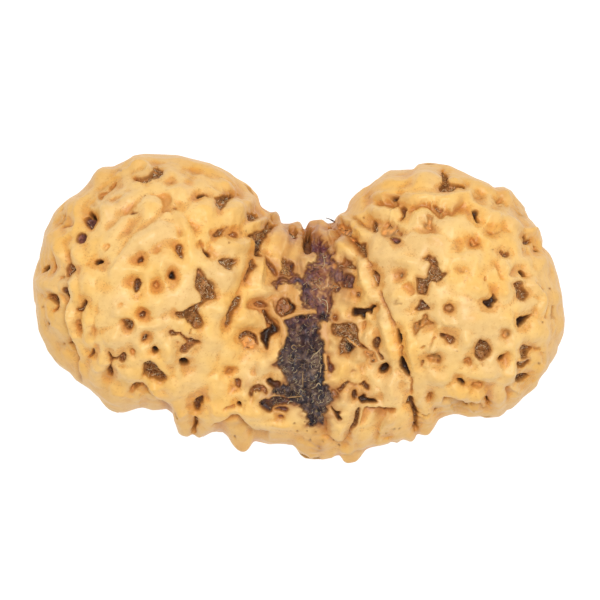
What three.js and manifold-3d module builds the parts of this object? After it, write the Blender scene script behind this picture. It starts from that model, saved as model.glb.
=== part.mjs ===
// A twin rudraksha seed: two stones of one fruit that grew together side by side, lying on its back.
// X runs through both lobes, Y points to the notch where the stalk sat, and Z points up, away from the
// surface that the seed lies on. The whole seed is one solid. All sizes are in millimetres.

import * as THREE from 'three';
import { mergeVertices } from 'three/addons/utils/BufferGeometryUtils.js';
import Module from 'manifold-3d';

const { Vector3 } = THREE;
const wasm = await Module();
wasm.setup();

// Driving dimensions. A lobe is a spheroid whose long axis leans to the notch, and the core that joins
// the two is squarer than an ellipsoid.
const LEFT = { centre: [-10.2, 2.0, 8.88], radii: [8.55, 9.25, 9.0], lean: -28, squareness: 2.0 };
const RIGHT = { centre: [10.5, 1.3, 8.58], radii: [7.75, 9.45, 8.65], lean: 30, squareness: 2.0 };
const CORE = { centre: [-0.2, -2.1, 7.1], radii: [10.9, 8.1, 7.0], lean: -7.5, squareness: 2.8 };
const WELD = 2.0; // how far the lobes and the core run into each other
const BED_DEPTH = 1.05; // from the top of the net down to the fibrous bed
const SCAR_DEPTH = 0.95; // the strip where the two stones grew together
const LOBE_RADIUS = 9; // the lobes' mean radius, and the lengths below, set how many places the fine mesh has
const CAP_LENGTH = 14.5; // from the middle of a lobe's girth to its far end, along the surface
const MIDDLE_LENGTH = 20.5; // from one lobe's centre to the other's
const SOURCE_STEP = 0.21; // spacing of the fine mesh
const TRIANGLES = 12150; // what the fine mesh is thinned to, before the flat spots are cut
const PINHOLE = 0.17; // a hole of this radius or less is left out of the faceted solid
const SMALLEST_PIT = 0.32; // and the others are at least this wide

// The front of the net, read off the real seed. x and y are measured from the middle of the seed.
// Round holes: x, y, radius, depth.
const PITS = [
  // left lobe, outer part
  [-14.8, 6.6, 0.4, 1.5], [-14.85, 6.1, 0.34, 0.9], [-15.5, 5.1, 0.47, 1.1], [-13.7, 4.4, 0.3, 0.5],
  [-14.2, 3.4, 0.31, 1.4], [-18.05, 2.9, 0.31, 1.2], [-17.4, 2.9, 0.25, 0.45], [-16.2, 2.95, 0.36, 0.9],
  [-16.5, 2.5, 0.28, 0.9], [-16.2, 6.25, 0.32, 0.3], [-12.8, 7.5, 0.12, 0.3], [-11.8, 6.9, 0.29, 0.55],
  [-16.45, 1.05, 0.42, 1.1], [-17.8, 0.8, 0.42, 1.2], [-17.6, 0.2, 0.4, 0.8], [-15.25, 0.3, 0.4, 1.1],
  [-15.6, -1.1, 0.3, 0.8], [-17.85, -1.05, 0.15, 0.4],
  // left lobe, middle
  [-10.0, 4.2, 0.25, 0.5], [-11.25, 3.5, 0.35, 0.9], [-11.4, 1.85, 0.39, 1.1], [-11.55, 1.35, 0.26, 0.7],
  [-10.05, 1.75, 0.32, 0.6], [-8.9, 2.35, 0.36, 1.0], [-12.6, 0.2, 0.29, 0.5], [-11.1, -0.5, 0.35, 1.0],
  [-12.1, -1.15, 0.47, 1.2], [-10.9, -2.15, 0.32, 0.9], [-12.5, -3.5, 0.41, 1.1],
  [-11.7, -3.15, 0.3, 0.8], [-10.15, -3.05, 0.34, 1.5], [-8.1, -3.95, 0.39, 1.6],
  [-9.0, -4.35, 0.13, 0.3], [-10.2, -5.8, 0.3, 0.4],
  // from the left lobe to the scar
  [-3.3, 6.55, 0.37, 0.8], [-4.3, 8.15, 0.13, 0.4], [-7.6, 5.85, 0.2, 0.35], [-8.5, 5.45, 0.15, 0.25],
  [-0.4, 5.6, 0.3, 0.9], [-0.4, 5.25, 0.28, 0.9], [-0.95, 3.3, 0.35, 0.8], [-3.6, -2.3, 0.62, 0.8],
  [-5.0, -4.5, 0.28, 0.5], [-4.4, -5.3, 0.32, 0.9], [-3.8, -5.25, 0.25, 0.4], [-4.3, -6.8, 0.24, 1.2],
  [-1.6, -5.4, 0.33, 1.6], [-2.55, -6.7, 0.24, 1.5],
  // from the scar to the right lobe
  [4.1, 0.95, 0.31, 0.7], [3.9, -0.35, 0.27, 1.5], [5.4, -2.2, 0.29, 1.4], [7.15, 2.4, 0.24, 0.6],
  [6.0, -4.35, 0.4, 1.5], [3.9, -6.2, 0.3, 1.4], [3.75, -4.5, 0.15, 0.2], [4.3, -4.2, 0.15, 0.2],
  [6.8, 4.9, 0.33, 1.0], [9.0, 5.95, 0.33, 0.5], [6.2, -7.35, 0.42, 0.6],
  // right lobe
  [10.5, 0.1, 0.34, 0.7], [10.6, -2.3, 0.38, 1.0], [12.9, -3.0, 0.68, 1.0], [11.8, -3.9, 0.33, 0.6],
  [9.3, -3.5, 0.47, 0.5], [9.75, -3.85, 0.22, 0.9], [12.4, 4.8, 0.34, 0.6], [11.05, 4.4, 0.16, 0.5],
  [14.2, 7.8, 0.3, 0.5], [11.4, 2.7, 0.34, 0.5], [16.15, 4.9, 0.3, 1.1], [15.9, 4.3, 0.16, 0.4],
  [14.6, -1.8, 0.4, 0.45], [12.5, -5.7, 0.42, 0.6], [9.3, -6.4, 0.28, 0.8], [17.0, -1.1, 0.13, 0.3],
  [18.3, 0.0, 0.3, 0.35],
];

// Openings that show the bed: radius, then the x and y of each point along the opening.
const RIFTS = [
  // left lobe
  [0.31, -11.5, 9.35, -10.9, 9.3, -10.4, 9.65, -9.9, 9.95],
  [0.27, -13.45, -3.25, -13.25, -3.8, -13.4, -4.6], [0.45, -10.65, -4.25, -10.2, -4.6, -9.75, -4.9],
  [0.16, -7.2, 8.02, -6.75, 8.1, -6.3, 8.25], [0.21, -5.8, 7.95, -4.9, 8.0],
  [0.23, -5.6, 7.8, -5.55, 7.25], [0.16, -5.05, 7.85, -5.4, 7.4], [0.26, -8.5, 4.5, -8.3, 3.75],
  [0.15, -6.85, 4.45, -6.4, 3.95, -5.8, 3.65], [0.33, -5.5, 3.5, -4.9, 3.15, -4.6, 3.35],
  [0.48, -7.0, 2.45, -6.75, 1.7, -6.3, 1.15], [0.21, -6.8, 0.6, -7.4, 0.1, -8.0, -0.2, -8.5, -0.45],
  [0.35, -7.7, -0.5, -7.2, -0.85, -7.0, -1.15], [0.26, -9.0, -1.75, -8.4, -2.0, -8.0, -2.4],
  [0.31, -8.2, -2.55, -8.15, -3.0], [0.21, -7.9, -2.45, -7.1, -2.3],
  // the long groove between the left lobe and the core
  [0.21, -1.75, 6.65, -2.2, 5.85, -2.65, 5.2, -2.95, 4.5, -3.0, 3.8], [0.23, -3.45, 5.2, -2.7, 5.4],
  [0.18, -3.1, 3.6, -3.5, 2.8, -3.8, 2.1], [0.21, -4.3, 0.7, -4.6, 0.0, -4.9, -0.8, -5.15, -1.35],
  [0.23, -6.9, -6.5, -7.25, -7.1], [0.17, -7.4, -7.7, -7.45, -8.2, -7.6, -8.9],
  // around the scar
  [0.24, 0.45, 6.3, 0.35, 5.3, 0.6, 4.3], [0.14, -1.6, 1.85, -1.1, 2.05, -0.4, 1.8, 0.1, 1.4],
  [0.35, -1.4, 0.0, -0.8, 0.15], [0.21, -1.0, 0.8, -0.5, 0.2], [0.23, -2.9, 0.5, -2.45, 0.35],
  [0.21, -2.4, 0.1, -2.15, -0.6, -1.8, -1.2, -1.8, -1.6], [0.35, -2.5, -1.85, -2.3, -2.5],
  [0.39, -2.3, -6.9, -1.5, -6.75, -0.7, -6.7], [0.21, -2.1, -5.2, -1.6, -5.4],
  [0.25, 3.0, 3.2, 3.4, 3.3, 3.8, 3.1], [0.46, 2.95, 2.6, 3.4, 2.2, 3.45, 1.8],
  [0.27, 3.7, -0.3, 4.5, -0.4, 5.25, -0.25], [0.21, 4.45, -0.6, 4.6, -1.3],
  [0.39, 2.7, -1.5, 3.4, -1.5, 3.8, -1.5], [0.45, 3.3, -2.35, 3.8, -2.3, 4.2, -2.6],
  [0.17, 4.3, -2.6, 4.9, -2.9], [0.21, 5.1, -3.85, 5.5, -3.6], [0.31, 2.05, -3.7, 2.3, -4.2],
  [0.16, 2.6, -5.8, 3.3, -5.5], [0.23, 4.2, -5.4, 4.8, -5.4, 5.0, -5.8],
  [0.23, 4.3, -6.4, 4.8, -6.5, 5.45, -6.7], [0.25, 2.4, -7.1, 2.75, -7.5, 2.9, -7.9],
  [0.26, 4.2, -7.2, 3.9, -8.0, 3.55, -8.7],
  // the long groove between the core and the right lobe
  [0.21, 3.1, 5.9, 3.5, 5.4, 4.1, 4.75], [0.23, 4.2, 4.6, 4.3, 4.2, 4.7, 3.7],
  [0.21, 5.2, 2.75, 5.5, 1.85], [0.17, 6.75, -1.35, 7.0, -2.45],
  [0.19, 7.15, -3.3, 7.3, -3.9, 7.7, -4.75], [0.23, 7.9, -6.35, 8.1, -7.0, 8.4, -7.5],
  [0.19, 8.3, -7.7, 8.35, -8.8],
  // right lobe
  [0.21, 5.2, 6.2, 5.35, 5.65], [0.13, 6.85, 6.0, 7.05, 5.4], [0.43, 9.15, 3.5, 9.5, 2.9, 9.75, 2.4],
  [0.37, 8.45, 2.15, 8.55, 1.7, 8.7, 1.25], [0.29, 8.3, 0.0, 8.75, 0.25, 8.95, 0.1],
  [0.33, 8.15, -1.55, 8.5, -1.3, 8.85, -0.85], [0.23, 10.0, -1.95, 10.5, -2.1],
  [0.16, 8.75, -3.8, 8.55, -4.1], [0.25, 10.2, 9.75, 10.35, 9.2, 10.5, 8.75],
  [0.23, 9.8, 8.6, 10.5, 8.7, 11.2, 8.8, 11.65, 8.75], [0.23, 7.35, 7.2, 7.4, 6.8],
  [0.21, 9.75, 7.05, 10.1, 7.0], [0.23, 12.45, 7.1, 12.5, 6.5], [0.23, 14.25, 4.15, 14.7, 3.85],
  [0.21, 15.75, 2.7, 16.0, 2.5], [0.46, 15.6, 1.6, 15.8, 1.0], [0.27, 13.15, 0.35, 13.5, 0.4, 13.75, 0.7],
  [0.23, 14.3, -3.75, 14.6, -3.4], [0.27, 15.6, -1.1, 15.8, -0.8, 16.2, -0.6],
  [0.37, 15.9, -2.9, 15.95, -3.4, 16.0, -3.8], [0.25, 15.5, -4.1, 15.9, -3.95],
  [0.31, 15.55, -5.05, 16.15, -4.95], [0.21, 11.25, -5.05, 11.65, -5.25], [0.16, 11.5, -6.65, 11.9, -7.0],
];

// Smooth hollows and creases in the net: radius, depth, then the points.
const HOLLOWS = [
  // broad ones, where the net lies lower or ends above the smooth underside
  [0.28, 0.8, -14.15, 8.15, -13.6, 8.5, -13.1, 9.0], [0.32, 0.5, -11.9, -6.0, -11.4, -5.65, -11.0, -5.9],
  [0.55, 0.7, -11.6, -6.4, -10.4, -6.8, -9.6, -6.9],
  [0.6, 0.6, -5.6, -8.8, -4.2, -8.8, -2.8, -9.2, -1.2, -9.4], [0.8, 0.9, 4.8, -8.1, 6.2, -8.4, 7.0, -8.7],
  [0.5, 0.6, 4.3, -9.2, 5.8, -9.3], [0.55, 0.8, 10.6, -6.9, 11.3, -7.2],
  [0.6, 0.5, -17.0, -1.4, -16.7, -2.9, -16.4, -4.2], [0.5, 0.3, -12.1, 1.8, -11.7, 1.8],
  [0.3, 0.5, 7.3, 1.7, 7.7, 1.1, 8.1, 0.6], [0.45, 0.3, 13.6, 6.9, 13.6, 6.2],
  [0.4, 0.4, -15.8, 0.4, -15.5, 0.3], [0.24, 0.4, -16.85, 6.8, -17.05, 6.2],
  [0.37, 0.5, -6.7, 4.85, -5.8, 5.3, -4.6, 5.35], [0.22, 0.5, -2.3, 3.6, -2.0, 3.0, -1.6, 2.5],
  [0.33, 0.6, -3.3, -5.9, -2.8, -5.7, -2.4, -6.0], [0.42, 0.45, 5.9, 5.6, 6.6, 5.5, 6.9, 5.2],
  [0.32, 0.35, 8.0, 4.5, 8.8, 4.2], [0.28, 0.5, 4.8, -3.1, 5.4, -3.3, 5.9, -3.5],
  [0.22, 0.7, 5.4, -2.4, 5.3, -2.8], [0.25, 0.4, 13.3, 5.55, 14.0, 5.5],
  [0.3, 0.4, -1.6, -7.8, -1.1, -7.8], [0.3, 0.35, -9.6, 7.5, -9.3, 7.3],
  // creases along the seed's seams, and the steps where one plate of the net laps another
  [0.13, 0.3, -8.7, 7.2, -9.6, 7.0, -10.6, 5.95, -11.6, 5.2, -12.4, 4.3, -13.4, 2.9, -14.0, 1.3, -14.3,
   0.0], [0.13, 0.3, -14.3, 0.0, -14.6, -1.2, -14.7, -2.2], [0.21, 0.6, -14.62, -2.95, -14.8, -3.6],
  [0.16, 0.5, -16.1, 3.7, -16.7, 2.0, -16.85, 0.4, -16.5, -0.7, -16.1, -1.8, -15.85, -2.6, -15.6,
   -3.5, -15.7, -4.3, -15.5, -5.1],
  [0.15, 0.4, 15.0, 3.4, 15.1, 2.2, 15.2, 0.5, 15.25, -1.5, 15.15, -3.0, 15.0, -4.5, 14.95, -5.5, 14.7,
   -6.3, 14.7, -7.1], [0.13, 0.4, -10.1, 8.05, -9.65, 7.6, -9.6, 7.05, -8.7, 7.2],
  [0.13, 0.4, -5.4, -8.1, -4.7, -7.75, -4.1, -7.95, -3.4, -8.5, -2.4, -8.8],
  [0.14, 0.5, 4.9, -7.15, 5.8, -7.1, 6.5, -7.15, 6.95, -7.6], [0.08, 0.35, 4.7, 3.7, 5.1, 2.9],
  [0.08, 0.2, 5.6, 1.4, 6.1, 0.2, 6.6, -0.9], [0.08, 0.35, 7.7, -4.8, 7.95, -6.0],
  [0.11, 0.35, 8.6, -2.9, 9.0, -2.7, 9.5, -2.2, 9.9, -1.9], [0.12, 0.6, 5.4, 7.78, 6.5, 7.75, 7.2, 7.4],
  [0.12, 0.6, 7.6, 7.3, 8.5, 7.5, 9.2, 7.45, 9.8, 7.0, 10.3, 7.15, 11.0, 7.4, 11.7, 7.8],
  [0.13, 0.45, 13.85, 3.4, 14.0, 2.8, 14.35, 2.1], [0.13, 0.4, 15.2, 3.1, 14.8, 2.4],
  [0.12, 0.5, 12.0, -5.4, 12.5, -5.35, 12.9, -5.45], [0.11, 0.7, 13.2, -6.3, 13.5, -7.0],
  [0.11, 0.5, 9.55, -7.4, 9.85, -7.2], [0.11, 0.8, -16.7, -2.7, -16.1, -2.5],
  [0.14, 0.3, -6.9, 4.6, -6.0, 4.8, -5.3, 5.1],
  [0.1, 0.2, -5.2, -1.6, -5.6, -3.2, -6.3, -5.2, -6.8, -6.3],
];

// Ridges that stand up from the bed or run over the net: radius, height above the net, then the points.
const RIDGES = [
  [0.29, 0.25, -2.0, 0.5, -1.85, -0.1, -1.4, -0.8, -1.2, -1.6, -1.35, -2.4, -1.65, -3.1],
  [0.26, -0.05, -1.3, 1.5, -0.7, 1.55, -0.1, 1.0, 0.0, 0.3, -0.4, -0.3, -1.0, -0.7],
  [0.2, -0.25, 0.0, -0.2, 0.5, -0.25, 0.95, -0.25], [0.26, 0.0, 1.7, -1.0, 1.85, -1.8, 2.0, -2.6],
  [0.36, -0.1, 0.1, 4.0, 0.15, 3.2, 0.1, 2.5], [0.2, -0.3, 0.5, 3.9, 1.3, 3.8],
  [0.48, -0.1, 1.3, 6.2, 1.35, 5.5, 1.35, 5.0], [0.42, 0.3, 2.5, -7.2, 3.0, -8.2, 3.0, -9.1],
  [0.35, 0.3, 5.8, 8.1, 7.3, 8.0, 8.6, 8.0, 10.0, 7.8, 11.3, 8.05], [0.2, 0.2, 10.3, -5.75, 10.9, -5.35],
  [0.22, 0.25, 11.7, -6.0, 12.4, -6.55, 12.9, -6.3], [0.3, 0.25, -11.7, 10.1, -11.0, 10.35, -10.5, 9.95],
  [0.25, 0.25, -10.4, 7.75, -9.95, 7.4, -10.2, 6.9], [0.3, 0.25, -6.9, -0.2, -6.6, 0.4, -6.0, 0.45],
  [0.35, 0.2, -4.6, -0.6, -4.0, -0.3, -3.2, -0.5, -2.7, -1.1], [0.3, 0.15, 4.3, 2.4, 4.2, 1.7],
  [0.3, 0.2, 3.9, -3.0, 4.6, -3.4, 5.4, -4.4],
];

// Knobs (+) and dents (-) that shape the outline, clockwise from the top left: x, y, radius, height.
const KNOBS = [
  [-17.5, 6.6, 1.0, 0.3], [-15.8, 8.4, 1.0, -0.35], [-14.2, 9.6, 0.9, 0.4], [-13.1, 10.2, 0.5, -0.3],
  [-11.4, 11.0, 1.3, 0.25], [-3.5, 8.4, 1.3, 0.5], [-1.6, 6.7, 0.5, 1.0], [-0.3, 6.1, 0.6, 0.6],
  [1.0, 6.1, 0.6, 0.7], [2.9, 7.0, 0.8, -0.35], [6.1, 9.5, 1.0, 0.3], [9.2, 10.4, 1.5, 0.3],
  [13.5, 8.9, 0.8, -0.65], [14.8, 8.5, 0.8, 0.5], [16.0, 7.4, 0.8, 0.4], [16.9, 5.6, 0.7, 0.35],
  [17.5, 4.7, 0.6, -0.6], [18.9, -1.3, 1.6, 0.35], [18.5, -2.9, 1.2, 0.4], [15.4, -6.8, 1.6, 0.75],
  [13.4, -7.7, 1.0, 0.35], [10.9, -7.9, 0.9, -0.75], [9.0, -8.7, 0.7, 0.65], [8.0, -9.2, 0.5, 0.45],
  [5.6, -9.6, 0.9, -0.25], [3.7, -10.4, 0.8, 0.85], [1.2, -10.4, 1.5, 0.7], [-1.4, -9.9, 0.9, -0.6],
  [-2.8, -9.5, 0.7, -0.55], [-4.2, -9.6, 0.8, 0.9], [-5.7, -9.1, 0.7, -0.9], [-6.9, -9.1, 0.6, 0.45],
  [-8.3, -8.7, 0.7, 0.95], [-9.5, -7.8, 0.8, -0.8], [-11.0, -7.4, 0.8, -0.5], [-12.9, -7.0, 1.2, 0.9],
  [-15.0, -6.0, 0.8, -0.15], [-17.6, -3.3, 2.0, 0.4],
];

// The dark strip where the stones grew together: x, y, half-width. It runs from the notch to the lower edge.
const SCAR = [
  [1.3, 5.0, 0.6], [1.3, 3.8, 0.9], [1.15, 2.4, 1.1], [1.15, 1.0, 1.0], [1.1, -0.2, 0.95],
  [0.7, -1.2, 1.15], [0.35, -2.4, 1.35], [0.25, -3.6, 1.5], [0.4, -4.8, 1.4], [0.35, -5.8, 1.5],
  [0.7, -6.8, 1.2], [1.15, -7.8, 0.75],
];

// The unseen sides follow the same pattern by a rule. "from" and "over" say how far the skin must lean back
// before a feature starts, and over how much more leaning it comes in.
const SEAM = { depth: 0.9, halfWidth: 0.5, x: 0.6, sway: 0.5, swayLength: 1.25, from: 0.1, over: 0.25 };
const MERIDIANS = 7; // grooves from the notch to the far end of each lobe
const MERIDIAN = { depth: 0.6, halfWidth: 0.32, wander: 0.06, wanderRate: 0.7, from: 0.25, over: 0.3 };
const OWN_SIDE = { from: 5.5, over: 3 }; // a lobe's grooves end this far past its centre
const UNSEEN = { tries: 2400, spacing: 2.1, steepest: 0.33, clear: 1.3, middleShare: 0.39, bigShare: 0.2 };
const UNSEEN_BIG = { radius: 0.36, more: 0.2, length: 0.9 };
const UNSEEN_SMALL = { radius: 0.3, more: 0.2, length: 0.5, shallowest: 0.5, deeper: 0.9 };
const REST_KNOB = { at: [0.6, -5.6], radius: 1.7, height: 0.75 }; // the third low point that the seed lies on
const FLAT_ZONE = 0.12; // no hole starts this low, so the flat spots stay whole

// Steps that spread the tries evenly over a square, and the numbers of a plain sine hash.
const EVEN_STEPS = [0.7548776662466927, 0.5698402909980532];
const DRAW_STEPS = [12.9898, 78.233];
const NOISE_STEPS = [127.1, 311.7, 74.7];
const HASH_SCALE = 43758.5453;

const frac = (v) => v - Math.floor(v);
const hash = (seed) => frac(Math.sin(seed) * HASH_SCALE);
const draw = (i, salt) => hash(i * DRAW_STEPS[0] + salt * DRAW_STEPS[1]);
const clamp01 = (v) => Math.min(1, Math.max(0, v));
const ease = (v) => v * v * (3 - 2 * v);
// 1 well inside a radius, 0 outside it, with a rounded rim between these two shares of the radius.
const RIM = [0.62, 1.3];
const within = (d, r) => 1 - ease(clamp01((d / r - RIM[0]) / (RIM[1] - RIM[0])));

// Smooth noise between -1 and 1 that changes over a distance of one unit.
function noise(x, y, z) {
  const corner = [Math.floor(x), Math.floor(y), Math.floor(z)];
  const u = [ease(x - corner[0]), ease(y - corner[1]), ease(z - corner[2])];
  let sum = 0;
  for (let i = 0; i < 2; i++)
    for (let j = 0; j < 2; j++)
      for (let k = 0; k < 2; k++) {
        const weight = (i ? u[0] : 1 - u[0]) * (j ? u[1] : 1 - u[1]) * (k ? u[2] : 1 - u[2]);
        const steps = [corner[0] + i, corner[1] + j, corner[2] + k].map((v, axis) => v * NOISE_STEPS[axis]);
        sum += weight * hash(steps[0] + steps[1] + steps[2]);
      }
  return sum * 2 - 1;
}

// Distance to one of the three bodies, negative inside.
function bodyDistance(p, { centre, radii, lean, squareness: n }) {
  const c = Math.cos(THREE.MathUtils.degToRad(lean));
  const s = Math.sin(THREE.MathUtils.degToRad(lean));
  const dx = p.x - centre[0];
  const dy = p.y - centre[1];
  const x = Math.abs(dx * c + dy * s) / radii[0];
  const y = Math.abs(dy * c - dx * s) / radii[1];
  const z = Math.abs(p.z - centre[2]) / radii[2];
  return ((x ** n + y ** n + z ** n) ** (1 / n) - 1) * Math.min(...radii);
}

function blend(a, b) {
  const h = Math.max(WELD - Math.abs(a - b), 0) / WELD;
  return Math.min(a, b) - (h * h * WELD) / 4;
}

const form = (p) => blend(blend(bodyDistance(p, LEFT), bodyDistance(p, RIGHT)), bodyDistance(p, CORE));

const SLOPE_STEP = 0.02;
function formNormal(p) {
  const slope = ['x', 'y', 'z'].map((axis) => {
    const a = p.clone();
    const b = p.clone();
    a[axis] += SLOPE_STEP;
    b[axis] -= SLOPE_STEP;
    return form(a) - form(b);
  });
  return new Vector3(...slope).normalize();
}

// The point where a ray from inside the seed leaves its smooth form.
const FARTHEST = 16;
const HALVINGS = 36;
function cast(from, direction) {
  let inside = 0;
  let outside = FARTHEST;
  for (let i = 0; i < HALVINGS; i++) {
    const middle = (inside + outside) / 2;
    if (form(from.clone().addScaledVector(direction, middle)) < 0) inside = middle;
    else outside = middle;
  }
  return from.clone().addScaledVector(direction, inside);
}

// The spine runs from the left lobe's centre through the core's to the right lobe's, for s from -1 to 1.
function spine(s) {
  const [l, m, r] = [LEFT, CORE, RIGHT].map((body) => new Vector3(...body.centre));
  const half = r.clone().sub(l).multiplyScalar(0.5);
  const bow = r.add(l).multiplyScalar(0.5).sub(m);
  return m.addScaledVector(half, s).addScaledVector(bow, s * s);
}

// A point of the front, or of the back, at an x and y of the seed. Past the outline it lies on the rim.
const BIAS = 0.35; // near the rim a ray straight up would miss, so the point slides onto the rim instead
const RIM_HEIGHT = 8;
const SLIDES = 12;
function onFace(x, y, side = 1) {
  const start = new Vector3(x, y, RIM_HEIGHT);
  if (form(start) <= -BIAS) return cast(start, new Vector3(0, 0, side));
  for (let i = 0; i < SLIDES; i++) start.addScaledVector(formNormal(start), -form(start));
  return start;
}

const path = (flat, side = 1) => {
  const points = [];
  for (let i = 0; i < flat.length; i += 2) points.push(onFace(flat[i], flat[i + 1], side));
  return points;
};

// Every feature is a chain of points with a radius, so that one distance rule serves them all.
const REACH = 4; // how many radii away a feature is still felt
function chain(points, values) {
  const reach = new THREE.Sphere().setFromPoints(points);
  reach.radius += REACH * values.r;
  return { points, reach, ...values };
}

const FUNNELS = { pit: 0.2, rift: 0.15, hollow: 0.1 }; // how deep the net sinks towards each kind
const carved = [
  ...PITS.map(([x, y, r, depth]) => chain([onFace(x, y)], { r, depth, funnel: FUNNELS.pit })),
  ...RIFTS.map(([r, ...flat]) => chain(path(flat), { r, depth: BED_DEPTH, funnel: FUNNELS.rift })),
  ...HOLLOWS.map(([r, depth, ...flat]) => chain(path(flat), { r, depth, funnel: FUNNELS.hollow })),
];
const ridges = RIDGES.map(([r, height, ...flat]) => chain(path(flat), { r, height }));
const knobs = KNOBS.map(([x, y, r, height]) => chain([onFace(x, y)], { r, height }));
const scar = SCAR.map(([x, y, r]) => ({ at: onFace(x, y), r }));
knobs.push(chain([onFace(...REST_KNOB.at, -1)], { r: REST_KNOB.radius, height: REST_KNOB.height }));

function chainDistance(p, points) {
  let best = p.distanceTo(points[0]);
  for (let i = 1; i < points.length; i++) {
    const nearest = new THREE.Line3(points[i - 1], points[i]).closestPointToPoint(p, true, new Vector3());
    best = Math.min(best, p.distanceTo(nearest));
  }
  return best;
}

// A capsule's vertex names a place on the seed: a spot on the spine and a direction out of it.
function place(vertex, halfLength) {
  const along = THREE.MathUtils.clamp(vertex.y, -halfLength, halfLength);
  const out = new Vector3(vertex.y - along, vertex.x, -vertex.z).normalize();
  return cast(spine(along / halfLength), out);
}

// The holes of the unseen sides: tries in a fixed order, and each one kept that is clear of the others.
function addUnseenHoles() {
  const front = carved.flatMap(({ points }) => points);
  const kept = [];
  for (let i = 1; i <= UNSEEN.tries; i++) {
    const along = frac(0.5 + i * EVEN_STEPS[0]) * 2 - 1;
    const turn = frac(0.5 + i * EVEN_STEPS[1]) * 2 * Math.PI;
    const lift = Math.max(Math.abs(along) - UNSEEN.middleShare, 0) / (1 - UNSEEN.middleShare);
    const tilt = Math.asin(lift) * Math.sign(along);
    const out = new Vector3(Math.sin(tilt), Math.cos(tilt) * Math.cos(turn), Math.cos(tilt) * Math.sin(turn));
    const at = cast(spine(THREE.MathUtils.clamp(along / UNSEEN.middleShare, -1, 1)), out);
    const normal = formNormal(at);
    if (normal.z > UNSEEN.steepest || at.z < FLAT_ZONE) continue;
    const gap = UNSEEN.spacing * (0.75 + 0.6 * draw(i, 1));
    if (kept.some((other) => other.distanceTo(at) < gap)) continue;
    if (front.some((other) => other.distanceTo(at) < UNSEEN.clear)) continue;
    kept.push(at);
    const big = draw(i, 2) > 1 - UNSEEN.bigShare;
    const size = big ? UNSEEN_BIG : UNSEEN_SMALL;
    const r = size.radius + size.more * draw(i, 3) ** (big ? 1 : 2);
    const side = new Vector3(draw(i, 4) - 0.5, draw(i, 5) - 0.5, draw(i, 6) - 0.5).cross(normal).normalize();
    const length = size.length * draw(i, 7) ** (big ? 0.5 : 2);
    const depth = big ? BED_DEPTH : size.shallowest + size.deeper * draw(i, 8);
    const ends = [at.clone().addScaledVector(side, length), at.clone().addScaledVector(side, -length)];
    carved.push(chain(ends, { r, depth, funnel: FUNNELS.pit }));
  }
}
addUnseenHoles();

// Grooves on the sides and back, in half-planes about the long axis of each lobe.
function meridianGroove(p, normal, lobe) {
  const lean = THREE.MathUtils.degToRad(lobe.lean);
  const axis = new Vector3(-Math.sin(lean), Math.cos(lean), 0);
  const across = new Vector3(Math.cos(lean), Math.sin(lean), 0);
  const q = p.clone().sub(new Vector3(...lobe.centre));
  const from = Math.hypot(q.dot(across), q.z);
  const wander = MERIDIAN.wander * Math.sin(q.dot(axis) * MERIDIAN.wanderRate + lobe.lean);
  const turn = (Math.atan2(q.z, q.dot(across)) / (2 * Math.PI)) * MERIDIANS + wander;
  const off = (Math.abs(frac(turn) - 0.5) * 2 * Math.PI * from) / MERIDIANS;
  const unseen = ease(clamp01((MERIDIAN.from - normal.z) / MERIDIAN.over));
  const ownSide = ease(clamp01((q.x * Math.sign(lobe.centre[0]) + OWN_SIDE.from) / OWN_SIDE.over));
  return MERIDIAN.depth * unseen * ownSide * within(off, MERIDIAN.halfWidth);
}

function scarCover(p) {
  let cover = 0;
  for (let i = 1; i < scar.length; i++) {
    const line = new THREE.Line3(scar[i - 1].at, scar[i].at);
    const share = line.closestPointToPointParameter(p, true);
    const r = THREE.MathUtils.lerp(scar[i - 1].r, scar[i].r, share);
    cover = Math.max(cover, within(p.distanceTo(line.at(share, new Vector3())), r));
  }
  return cover;
}

// How far the real surface stands above (+) or below (-) the smooth form at a point.
const WARP = 0.16; // how far the rims wander from true circles and straight lines
const WARP_LENGTH = 1.3;
const SWELLS = [[0.28, 3.4], [0.12, 1.6]]; // height and length of the swells that the whole seed has
const KNOB_SPREAD = 1.7; // a knob's foot and a funnel's rim, in radii
const FUNNEL_SPREAD = 1.9;
function relief(p, normal) {
  const w = p.clone().divideScalar(WARP_LENGTH);
  const q = new Vector3(
    p.x + WARP * noise(w.x, w.y, w.z + 7),
    p.y + WARP * noise(w.x + 13, w.y, w.z),
    p.z + WARP * noise(w.x, w.y + 19, w.z),
  );
  let height = 0;
  for (const [swell, length] of SWELLS) height += swell * noise(p.x / length, p.y / length, p.z / length);
  for (const { points, reach, r, height: h } of knobs) {
    if (!reach.containsPoint(p)) continue;
    height += h * (1 - ease(clamp01(chainDistance(p, points) / (KNOB_SPREAD * r))));
  }
  let depth = SCAR_DEPTH * scarCover(q);
  let dimple = 0;
  for (const { points, reach, r, depth: d, funnel } of carved) {
    if (r <= PINHOLE || !reach.containsPoint(q)) continue;
    const distance = chainDistance(q, points);
    depth = Math.max(depth, d * within(distance, Math.max(r, SMALLEST_PIT)));
    dimple = Math.max(dimple, funnel * Math.exp(-((distance / (FUNNEL_SPREAD * r)) ** 2)));
  }
  const seam = Math.abs(p.x - SEAM.x + SEAM.sway * Math.sin(p.y / SEAM.swayLength)) / SEAM.halfWidth;
  depth = Math.max(depth, SEAM.depth * within(seam, 1) * clamp01((SEAM.from - normal.z) / SEAM.over));
  depth = Math.max(depth, meridianGroove(q, normal, LEFT), meridianGroove(q, normal, RIGHT));
  let keep = 0;
  let crest = 0;
  for (const { points, reach, r, height: h } of ridges) {
    if (!reach.containsPoint(q)) continue;
    const cover = within(chainDistance(q, points), r);
    if (cover > keep) crest = h;
    keep = Math.max(keep, cover);
  }
  return height - dimple - depth * (1 - keep) + crest * keep;
}

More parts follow.
